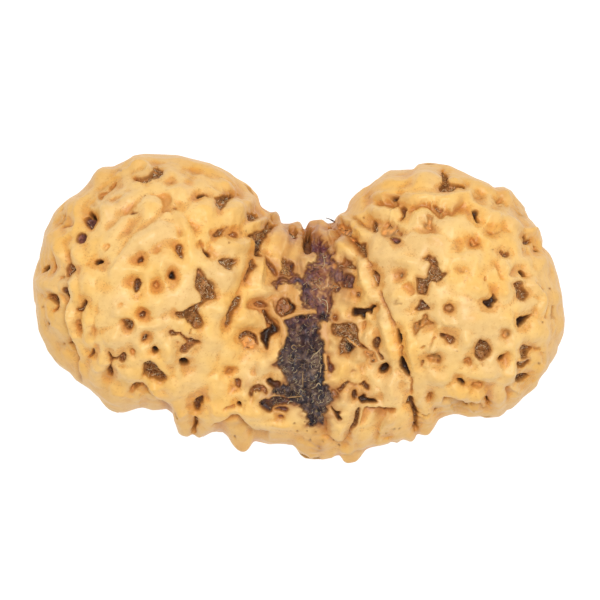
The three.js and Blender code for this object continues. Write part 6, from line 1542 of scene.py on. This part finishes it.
# %% The carved surface
down = np.column_stack([np.zeros(len(skin)), np.zeros(len(skin)), SINK * ease(normal[:, 2] / 0.6)])
inward = normal + down
inward /= np.linalg.norm(inward, axis=1, keepdims=True)
surface = skin + normal * height[:, None] - inward * cut[:, None]
surface[:, 2] = np.maximum(surface[:, 2], 0.0)
notes["fibre"] *= surface[:, 2] > CLEAR_OF_TABLE
print("height from", round((height - cut).min(), 2), "to", round((height - cut).max(), 2), "mm")

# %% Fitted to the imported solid's own box
node_low, node_high = (np.array(corner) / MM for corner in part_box("rudraksha_seed"))
fine_low, fine_high = surface.min(axis=0), surface.max(axis=0)
pattern_middle = (fine_low + fine_high) / 2.0
stretch = np.minimum((node_high - node_low) / (fine_high - fine_low), [np.inf, 1.0, np.inf])
placed = pattern_middle + (surface - pattern_middle) * stretch
moved = np.maximum(node_low - placed.min(axis=0), 0.0) + np.minimum(node_high - placed.max(axis=0), 0.0)
placed += moved


def in_place(xy):
    """Where x and y of the real seed's pattern lie on the fitted piece."""
    return pattern_middle[:2] + (xy - pattern_middle[:2]) * stretch[:2] + moved[:2]


print("fine box in mm:", np.round(fine_high - fine_low, 2), "stretched by", np.round(stretch, 4))


# %% [markdown]
# ## The husk's mesh
# A million triangles would be slow to carry about. Decimate takes triangles away where the surface is plain
# and leaves them at the rims, so the piece stays under 200,000.

# %% The mesh, thinned where it is plain
HUSK_TRIANGLES = 196000


def mesh_from(name, points, faces, notes):
    """A mesh of points in mm, with a value for each point under each note's name."""
    mesh = bpy.data.meshes.new(name)
    mesh.from_pydata((points * MM).tolist(), [], faces)
    for note, values in notes.items():
        layer = mesh.attributes.new(note, "FLOAT", "POINT")
        layer.data.foreach_set("value", values.astype(np.float32))
    return mesh


def smooth(mesh):
    mesh.polygons.foreach_set("use_smooth", np.ones(len(mesh.polygons), dtype=bool))


def plain_mesh(obj):
    """The mesh that an object's modifiers give, in place of the modifiers."""
    evaluated = obj.evaluated_get(bpy.context.evaluated_depsgraph_get())
    finished = bpy.data.meshes.new_from_object(evaluated)
    obj.modifiers.clear()
    obj.data = finished
    return finished


quads, fans = grid_faces(rows, columns)
mesh = mesh_from("rudraksha_husk", placed, quads.tolist() + fans.tolist(), notes)
layer = mesh.attributes.new("paint", "FLOAT_COLOR", "POINT")
layer.data.foreach_set("color", paint.astype(np.float32).ravel())
husk = add_object("rudraksha_husk", mesh)
thinning = husk.modifiers.new("thin", "DECIMATE")
thinning.ratio = HUSK_TRIANGLES / (2 * len(quads) + len(fans))
thinning.use_collapse_triangulate = True
mesh = plain_mesh(husk)
smooth(mesh)
print("husk:", len(mesh.polygons), "triangles; notes kept:", [a.name for a in mesh.attributes][:12])


# %% [markdown]
# ## Finishes
# The husk is dense wood with a natural wax on it, and handling has polished it: half-matt and tan, with warm
# orange where the wax is thick. The bed under it is raw plant fibre, dry and dull. A painted picture could
# give these colours. Here they come from the coats that were laid on the mesh and from noise in the wood's
# own scale, so the colour follows the form wherever the camera stands.

# %% Nodes
def node(tree, kind, links=None, **settings):
    """Adds a node with its settings. Each input is linked to a socket or set to a value."""
    made = tree.nodes.new(kind)
    for key, value in settings.items():
        setattr(made, key, value)
    for socket, value in (links or {}).items():
        several = isinstance(value, list) and value and isinstance(value[0], bpy.types.NodeSocket)
        for one in value if several else [value]:
            if isinstance(one, bpy.types.NodeSocket):
                tree.links.new(one, made.inputs[socket])
            else:
                made.inputs[socket].default_value = one
    return made


def new_material(name):
    material = bpy.data.materials.new(name)
    material.use_nodes = True
    material.node_tree.nodes.clear()
    return material, material.node_tree


def finish(tree, inputs):
    """Ends a finish with one shader that has these inputs."""
    shader = node(tree, "ShaderNodeBsdfPrincipled", inputs)
    node(tree, "ShaderNodeOutputMaterial", {"Surface": shader.outputs[0]})


def mixed(tree, factor, a, b, blend="MIX"):
    made = node(tree, "ShaderNodeMix", {0: factor, 6: a, 7: b}, data_type="RGBA", blend_type=blend)
    return made.outputs[2]


def maths(tree, operation, a, b=0.0):
    return node(tree, "ShaderNodeMath", {0: a, 1: b}, operation=operation).outputs[0]


def ramp(tree, value, *stops):
    made = node(tree, "ShaderNodeValToRGB", {"Fac": value})
    elements = made.color_ramp.elements
    while len(elements) < len(stops):
        elements.new(0.5)
    for element, (position, colour) in zip(elements, stops):
        element.position = position
        element.color = linear(colour)
    return made.outputs["Color"]


def noted(tree, name, output="Fac"):
    return node(tree, "ShaderNodeAttribute", attribute_name=name).outputs[output]


def grain(tree, millimetres, detail=2.0, shift=(0.0, 0.0, 0.0)):
    """Noise whose lumps are this many millimetres across."""
    place = node(tree, "ShaderNodeTexCoord").outputs["Object"]
    moved = node(tree, "ShaderNodeMapping", {"Vector": place, "Location": shift}).outputs[0]
    scale = 1.0 / (millimetres * MM)
    made = node(tree, "ShaderNodeTexNoise", {"Vector": moved, "Scale": scale, "Detail": detail})
    return made.outputs["Fac"]


# %% [markdown]
# ### Waxed husk
# The base is tan. Broad patches are a little warmer where the wax is thick and a little greyer where it has
# worn off. Over it come the coats of the mesh, broken up by fine grain.

# %% The husk's finish
husk_finish, tree = new_material("waxed_rudraksha_husk")
skin_colour = ramp(tree, grain(tree, 3.5, 2.0), (0.36, "#f8cd87"), (0.5, "#fed183"), (0.62, "#ffcb73"))
greyer = ramp(tree, grain(tree, 3.0, 3.0, shift=(0.3, 0.1, 0.7)), (0.55, "#000000"), (0.7, "#ffffff"))
skin_colour = mixed(tree, maths(tree, "MULTIPLY", greyer, 0.15), skin_colour, linear("#f0cd98"))
# painted shade: the skin is darkened where it lies in a hollow
hollows = ramp(tree, noted(tree, "hollow"), (0.53, "#ffffff"), (0.7, "#f2d8b0"), (0.95, "#d8a674"))
skin_colour = mixed(tree, 0.75, skin_colour, hollows, "MULTIPLY")
in_hollow = ramp(tree, noted(tree, "hollow"), (0.5, "#000000"), (0.6, "#ffffff"))
dust = ramp(tree, grain(tree, 0.13, 2.0), (0.55, "#000000"), (0.66, "#ffffff"))
dusty = maths(tree, "MULTIPLY", maths(tree, "MULTIPLY", in_hollow, dust), 0.4)
skin_colour = mixed(tree, dusty, skin_colour, linear("#a9713c"))
freckles = ramp(tree, grain(tree, 0.22, 2.0, shift=(0.2, 0.6, 0.1)), (0.6, "#000000"), (0.72, "#ffffff"))
skin_colour = mixed(tree, maths(tree, "MULTIPLY", freckles, 0.3), skin_colour, linear("#cf8d4c"))
mottle = ramp(tree, grain(tree, 0.5, 3.0), (0.35, "#f0eae2"), (0.6, "#ffffff"))
skin_colour = mixed(tree, 0.5, skin_colour, mottle, "MULTIPLY")
bare = mixed(tree, noted(tree, "cover"), skin_colour, linear("#000000"))
colour = mixed(tree, 1.0, bare, noted(tree, "paint", "Color"), "ADD")
wrinkles = node(tree, "ShaderNodeBump",
                {"Height": grain(tree, 0.24, 3.0), "Distance": 0.05 * MM, "Strength": 0.5})
finish(tree, {"Base Color": colour, "Roughness": 0.42, "Specular IOR Level": 0.35,
              "Normal": wrinkles.outputs[0]})
husk.data.materials.clear()
husk.data.materials.append(husk_finish)
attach(husk, "root")
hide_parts("rudraksha_seed")

# %% [markdown]
# ### Dry fibre
# The fibres of the bed are split plant hair: straw where the light reaches them, brown to nearly black
# below.

# %% The fibre's finish
fibre_finish, tree = new_material("dry_plant_fibre")
shade = noted(tree, "shade")
strand_colour = ramp(tree, shade, (0.0, "#6e3c1c"), (0.4, "#ac723c"), (0.7, "#d4a66a"), (1.0, "#f4e2bc"))
dark_colour = ramp(tree, shade, (0.0, "#2e2528"), (0.45, "#6e5450"), (0.75, "#a5835c"), (1.0, "#e6d4ac"))
strand_colour = mixed(tree, noted(tree, "scar"), strand_colour, dark_colour)
finish(tree, {"Base Color": strand_colour, "Roughness": 0.8, "Specular IOR Level": 0.2})

# %% [markdown]
# ## Fibre in the openings
# Hair particles would be lost when the model is exported, and thousands of strands can't be placed by hand.
# Geometry Nodes scatter a few bent strands over the bed, each turned and sized by a seeded draw, and make
# the result real mesh.

# %% A tree that tangles strands over the noted bed
SHAPES = [
    # where a strand's two handles and its end lie, in strand lengths from its middle
    ((-0.3, 0.5, 0.25), (0.3, -0.5, 0.3), (0.5, 0.0, 0.0)),
    ((-0.4, 0.6, 0.1), (0.4, 0.6, 0.35), (0.45, 0.1, 0.0)),
    ((0.4, 0.5, 0.3), (-0.5, 0.4, 0.1), (0.35, -0.3, 0.1)),
    ((-0.1, 0.2, 0.4), (0.2, 0.1, 0.3), (0.5, 0.15, 0.0)),
    ((-0.6, 0.3, 0.0), (0.6, 0.5, 0.3), (0.1, -0.35, 0.15)),
]
STRAND_SIDES = 3
STRAND_BENDS = 4
INPUTS = {
    "Strands per mm2": "Float",
    "Length": "Float",
    "Thickness": "Float",
    "Seed": "Int",
    "Finish": "Material",
}


def tangle_tree():
    tree = bpy.data.node_groups.new("fibre_tangle", "GeometryNodeTree")
    tree.is_modifier = True
    sockets = tree.interface
    sockets.new_socket("Husk", in_out="INPUT", socket_type="NodeSocketGeometry")
    for name, kind in INPUTS.items():
        sockets.new_socket(name, in_out="INPUT", socket_type="NodeSocket" + kind)
    sockets.new_socket("Fibres", in_out="OUTPUT", socket_type="NodeSocketGeometry")
    given = node(tree, "NodeGroupInput").outputs
    per_area = maths(tree, "MULTIPLY", given["Strands per mm2"], 1.0 / MM**2)
    cover = node(tree, "GeometryNodeInputNamedAttribute", {"Name": "fibre"}, data_type="FLOAT")
    density = maths(tree, "MULTIPLY", cover.outputs["Attribute"], per_area)
    scatter = node(tree, "GeometryNodeDistributePointsOnFaces",
                   {"Mesh": given["Husk"], "Density": density, "Seed": given["Seed"]},
                   distribute_method="RANDOM")
    radius = maths(tree, "MULTIPLY", given["Thickness"], 0.5)
    ring = node(tree, "GeometryNodeCurvePrimitiveCircle",
                {"Resolution": STRAND_SIDES, "Radius": radius}, mode="RADIUS")
    strands = []
    for first, second, end in SHAPES:
        ends = []
        for share in ((-0.5, 0.0, 0.0), first, second, end):
            scaled = node(tree, "ShaderNodeVectorMath",
                          {0: share, "Scale": given["Length"]}, operation="SCALE")
            ends.append(scaled.outputs[0])
        bend = node(tree, "GeometryNodeCurvePrimitiveBezierSegment",
                    {"Resolution": STRAND_BENDS, "Start": ends[0], "Start Handle": ends[1],
                     "End Handle": ends[2], "End": ends[3]}, mode="POSITION")
        tube = node(tree, "GeometryNodeCurveToMesh",
                    {"Curve": bend.outputs[0], "Profile Curve": ring.outputs[0], "Fill Caps": True})
        strands.append(tube.outputs[0])
    kinds = node(tree, "GeometryNodeGeometryToInstance", {0: strands})

    def random(low, high, salt, kind="FLOAT"):
        seed = maths(tree, "ADD", given["Seed"], float(salt))
        names = {"FLOAT": (2, 3, 1), "INT": (4, 5, 2)}[kind]
        drawn = node(tree, "FunctionNodeRandomValue",
                     {names[0]: low, names[1]: high, 8: seed}, data_type=kind)
        return drawn.outputs[names[2]]

    spin = node(tree, "FunctionNodeAxisAngleToRotation",
                {"Axis": (0.0, 0.0, 1.0), "Angle": random(0.0, 2.0 * math.pi, 1)})
    roll = node(tree, "FunctionNodeAxisAngleToRotation",
                {"Axis": (1.0, 0.0, 0.0), "Angle": random(-0.7, 0.7, 2)})
    turned = node(tree, "FunctionNodeRotateRotation",
                  {"Rotation": scatter.outputs["Rotation"], "Rotate By": spin.outputs[0]},
                  rotation_space="LOCAL")
    turned = node(tree, "FunctionNodeRotateRotation",
                  {"Rotation": turned.outputs[0], "Rotate By": roll.outputs[0]}, rotation_space="LOCAL")
    size = node(tree, "ShaderNodeCombineXYZ",
                {0: random(0.6, 1.4, 3), 1: random(0.6, 1.2, 4), 2: random(0.7, 1.3, 5)})
    placed = node(tree, "GeometryNodeInstanceOnPoints",
                  {"Points": scatter.outputs["Points"], "Instance": kinds.outputs[0], "Pick Instance": True,
                   "Instance Index": random(0, len(SHAPES) - 1, 6, "INT"), "Rotation": turned.outputs[0],
                   "Scale": size.outputs[0]})
    shaded = node(tree, "GeometryNodeStoreNamedAttribute",
                  {"Geometry": placed.outputs[0], "Name": "shade", "Value": random(0.0, 1.0, 7)},
                  data_type="FLOAT", domain="INSTANCE")
    real = node(tree, "GeometryNodeRealizeInstances", {"Geometry": shaded.outputs[0]})
    finished = node(tree, "GeometryNodeSetMaterial",
                    {"Geometry": real.outputs[0], "Material": given["Finish"]})
    node(tree, "NodeGroupOutput", {"Fibres": finished.outputs[0]})
    return tree


# %% The fibres as one plain mesh
FIBRE = {
    "Strands per mm2": 60.0,
    "Length": 0.38 * MM,
    "Thickness": 0.042 * MM,
    "Seed": 7,
    "Finish": fibre_finish,
}
fibres = add_object("rudraksha_fibres", husk.data.copy())
tangle = fibres.modifiers.new("tangle", "NODES")
tangle.node_group = tangle_tree()
for item in tangle.node_group.interface.items_tree:
    if item.item_type == "SOCKET" and item.in_out == "INPUT" and item.name in FIBRE:
        tangle[item.identifier] = FIBRE[item.name]
mesh = plain_mesh(fibres)
smooth(mesh)
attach(fibres, "root")
triangles = sum(len(polygon.vertices) - 2 for polygon in mesh.polygons)
print("fibres:", len(mesh.polygons), "faces,", triangles, "triangles")

# %% [markdown]
# ## Loose threads
# A few strands are long enough to be seen one by one: over the scar, and two dark hairs at the notch. Curves
# don't go into an exported model, so each thread is a thin closed tube of mesh along a few points, and it
# lies on whatever the husk has below it.

# %% Threads: shade from dark to straw, thickness, height over the husk, then x and y of the points
THREADS = [
    [0.8, 0.07, 0.1, 1.65, 3.9, 1.75, 3.5, 1.8, 3.1, 1.6, 2.85],
    [0.75, 0.06, 0.1, 1, 3.05, 1.35, 3.12, 1.75, 3.05],
    [0.8, 0.06, 0.1, 1.15, 1.75, 1.4, 1.5, 1.5, 1.3],
    [0.7, 0.06, 0.12, 1.7, 2.05, 1.5, 2.25, 1.3, 2.05, 1.5, 1.85, 1.68, 1.98],
    [0.85, 0.06, 0.1, 1.35, 0.8, 1.5, 0.5],
    [0.9, 0.07, 0.1, 1.6, 0.65, 1.95, 0.55, 2, 0, 1.95, -0.3],
    [0.85, 0.07, 0.1, 0.8, -3.6, 1, -3.3, 1.3, -3.1, 1.6, -2.75],
    [0.75, 0.06, 0.1, 0.25, -4.5, 0.22, -5, 0.25, -5.6],
    [0.85, 0.06, 0.1, 1.55, -4, 1.48, -4.3, 1.5, -4.6],
    [0.65, 0.12, 0.12, -0.85, -6.35, -0.3, -6.3, 0.15, -6.25],
    [0.85, 0.07, 0.1, 0.85, -5.7, 1.15, -5.6, 1.35, -5.25, 1.5, -5.5],
    [0.75, 0.06, 0.12, -0.2, -2.75, -0.4, -2.55, -0.6, -2.75, -0.4, -2.95, -0.22, -2.82],
    [0.0, 0.06, 0.15, 1.85, 6.5, 2.2, 6.4, 2.5, 6.25],
    [0.05, 0.05, 0.12, 2.2, 6.35, 2.55, 6.15],
]
TUBE_SIDES = 6
THREAD_DARKNESS = 0.6  # share of the scar's dark shades in a thread's colour
THREAD_TOP = 25.0  # mm; higher than any part of the husk


def softened(points):
    """A line of points with its corners cut off twice. The ends stay."""
    for _ in range(2):
        near_first = 0.75 * points[:-1] + 0.25 * points[1:]
        near_second = 0.25 * points[:-1] + 0.75 * points[1:]
        between = np.stack([near_first, near_second], axis=1).reshape(-1, points.shape[1])
        points = np.vstack([points[:1], between, points[-1:]])
    return points


def laid_on_husk(xy, lift):
    """The line with heights from the husk. Past the edge it keeps the last height."""
    heights = []
    for x, y in xy:
        hit, place, _, _ = husk.ray_cast(Vector((x, y, THREAD_TOP)) * MM, Vector((0.0, 0.0, -1.0)))
        heights.append(place.z / MM if hit else heights[-1] if heights else RIM_HEIGHT)
    heights = np.convolve(np.pad(heights, 1, mode="edge"), (0.25, 0.5, 0.25), mode="valid")
    return np.column_stack([xy, heights + lift])


def tube(points, radius):
    """Vertices and faces of a closed, tapered tube."""
    along = np.gradient(points, axis=0)
    along /= np.linalg.norm(along, axis=1, keepdims=True)
    side = np.cross(along, [0.0, 0.0, 1.0])
    side /= np.linalg.norm(side, axis=1, keepdims=True)
    up = np.cross(side, along)
    taper = np.sqrt(np.sin(np.linspace(0.2, math.pi - 0.2, len(points))))
    turn = np.linspace(0.0, 2.0 * math.pi, TUBE_SIDES, endpoint=False)
    ring = np.cos(turn)[None, :, None] * side[:, None, :] + np.sin(turn)[None, :, None] * up[:, None, :]
    vertices = (points[:, None, :] + radius * taper[:, None, None] * ring).reshape(-1, 3)
    faces = [tuple(range(TUBE_SIDES)), tuple(range(len(vertices) - 1, len(vertices) - 1 - TUBE_SIDES, -1))]
    for start in range(0, len(vertices) - TUBE_SIDES, TUBE_SIDES):
        for j in range(TUBE_SIDES):
            k = (j + 1) % TUBE_SIDES
            faces.append((start + j, start + TUBE_SIDES + j, start + TUBE_SIDES + k, start + k))
    return vertices, faces


vertices, faces, shades = [], [], []
for shade, thickness, lift, *flat in THREADS:
    line = laid_on_husk(softened(in_place(pairs(flat))), lift)
    points, sides = tube(line, thickness / 2.0)
    faces += [tuple(len(shades) + corner for corner in side) for side in sides]
    vertices += points.tolist()
    shades += [shade] * len(points)
notes = {"shade": np.array(shades), "scar": np.full(len(shades), THREAD_DARKNESS)}
mesh = mesh_from("rudraksha_threads", np.array(vertices), faces, notes)
mesh.materials.append(fibre_finish)
smooth(mesh)
threads = add_object("rudraksha_threads", mesh)
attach(threads, "root")
print("threads:", len(THREADS), "of", len(faces), "faces")

# %% [markdown]
# ## Table and light
# The seed lies on a plain white table. A small thing on white is lit from all round, with one large soft
# light above it and a little behind, so that no shadow has an edge and the far side isn't dark.

# %% A bright table
TABLE_HALF = 2.0  # metres, so that no edge of it is seen
TABLE_GLOW = 0.95  # it shines by itself, as a lit sheet of acrylic does

table_finish, tree = new_material("white_acrylic_table")
finish(tree, {"Base Color": linear("#808080"), "Roughness": 0.7,
              "Emission Color": linear("#ffffff"), "Emission Strength": TABLE_GLOW})
table_mesh = bpy.data.meshes.new("table")
corners = [(x * TABLE_HALF, y * TABLE_HALF, 0.0) for x, y in ((-1, -1), (1, -1), (1, 1), (-1, 1))]
table_mesh.from_pydata(corners, [], [(0, 1, 2, 3)])
table_mesh.materials.append(table_finish)
table = add_object("table", table_mesh)


# %% One soft light and a white room
KEY = {"place": (0.05, 0.07, 0.73), "size": 0.26, "watts": 3.5}  # place and size in metres
ROOM_LIGHT = 0.42


def softbox(name, place, size, watts):
    data = bpy.data.lights.new(name, "AREA")
    data.size = size
    data.energy = watts
    light = add_object(name, data)
    light.location = place
    light.rotation_euler = Vector(place).to_track_quat("Z", "Y").to_euler()


softbox("key_softbox", **KEY)
world = bpy.data.worlds.new("white_room")
world.use_nodes = True
background = world.node_tree.nodes["Background"]
background.inputs["Color"].default_value = linear("#ffffff")
background.inputs["Strength"].default_value = ROOM_LIGHT
bpy.context.scene.world = world
bpy.context.scene.view_settings.view_transform = "Standard"
add_camera(-moved)
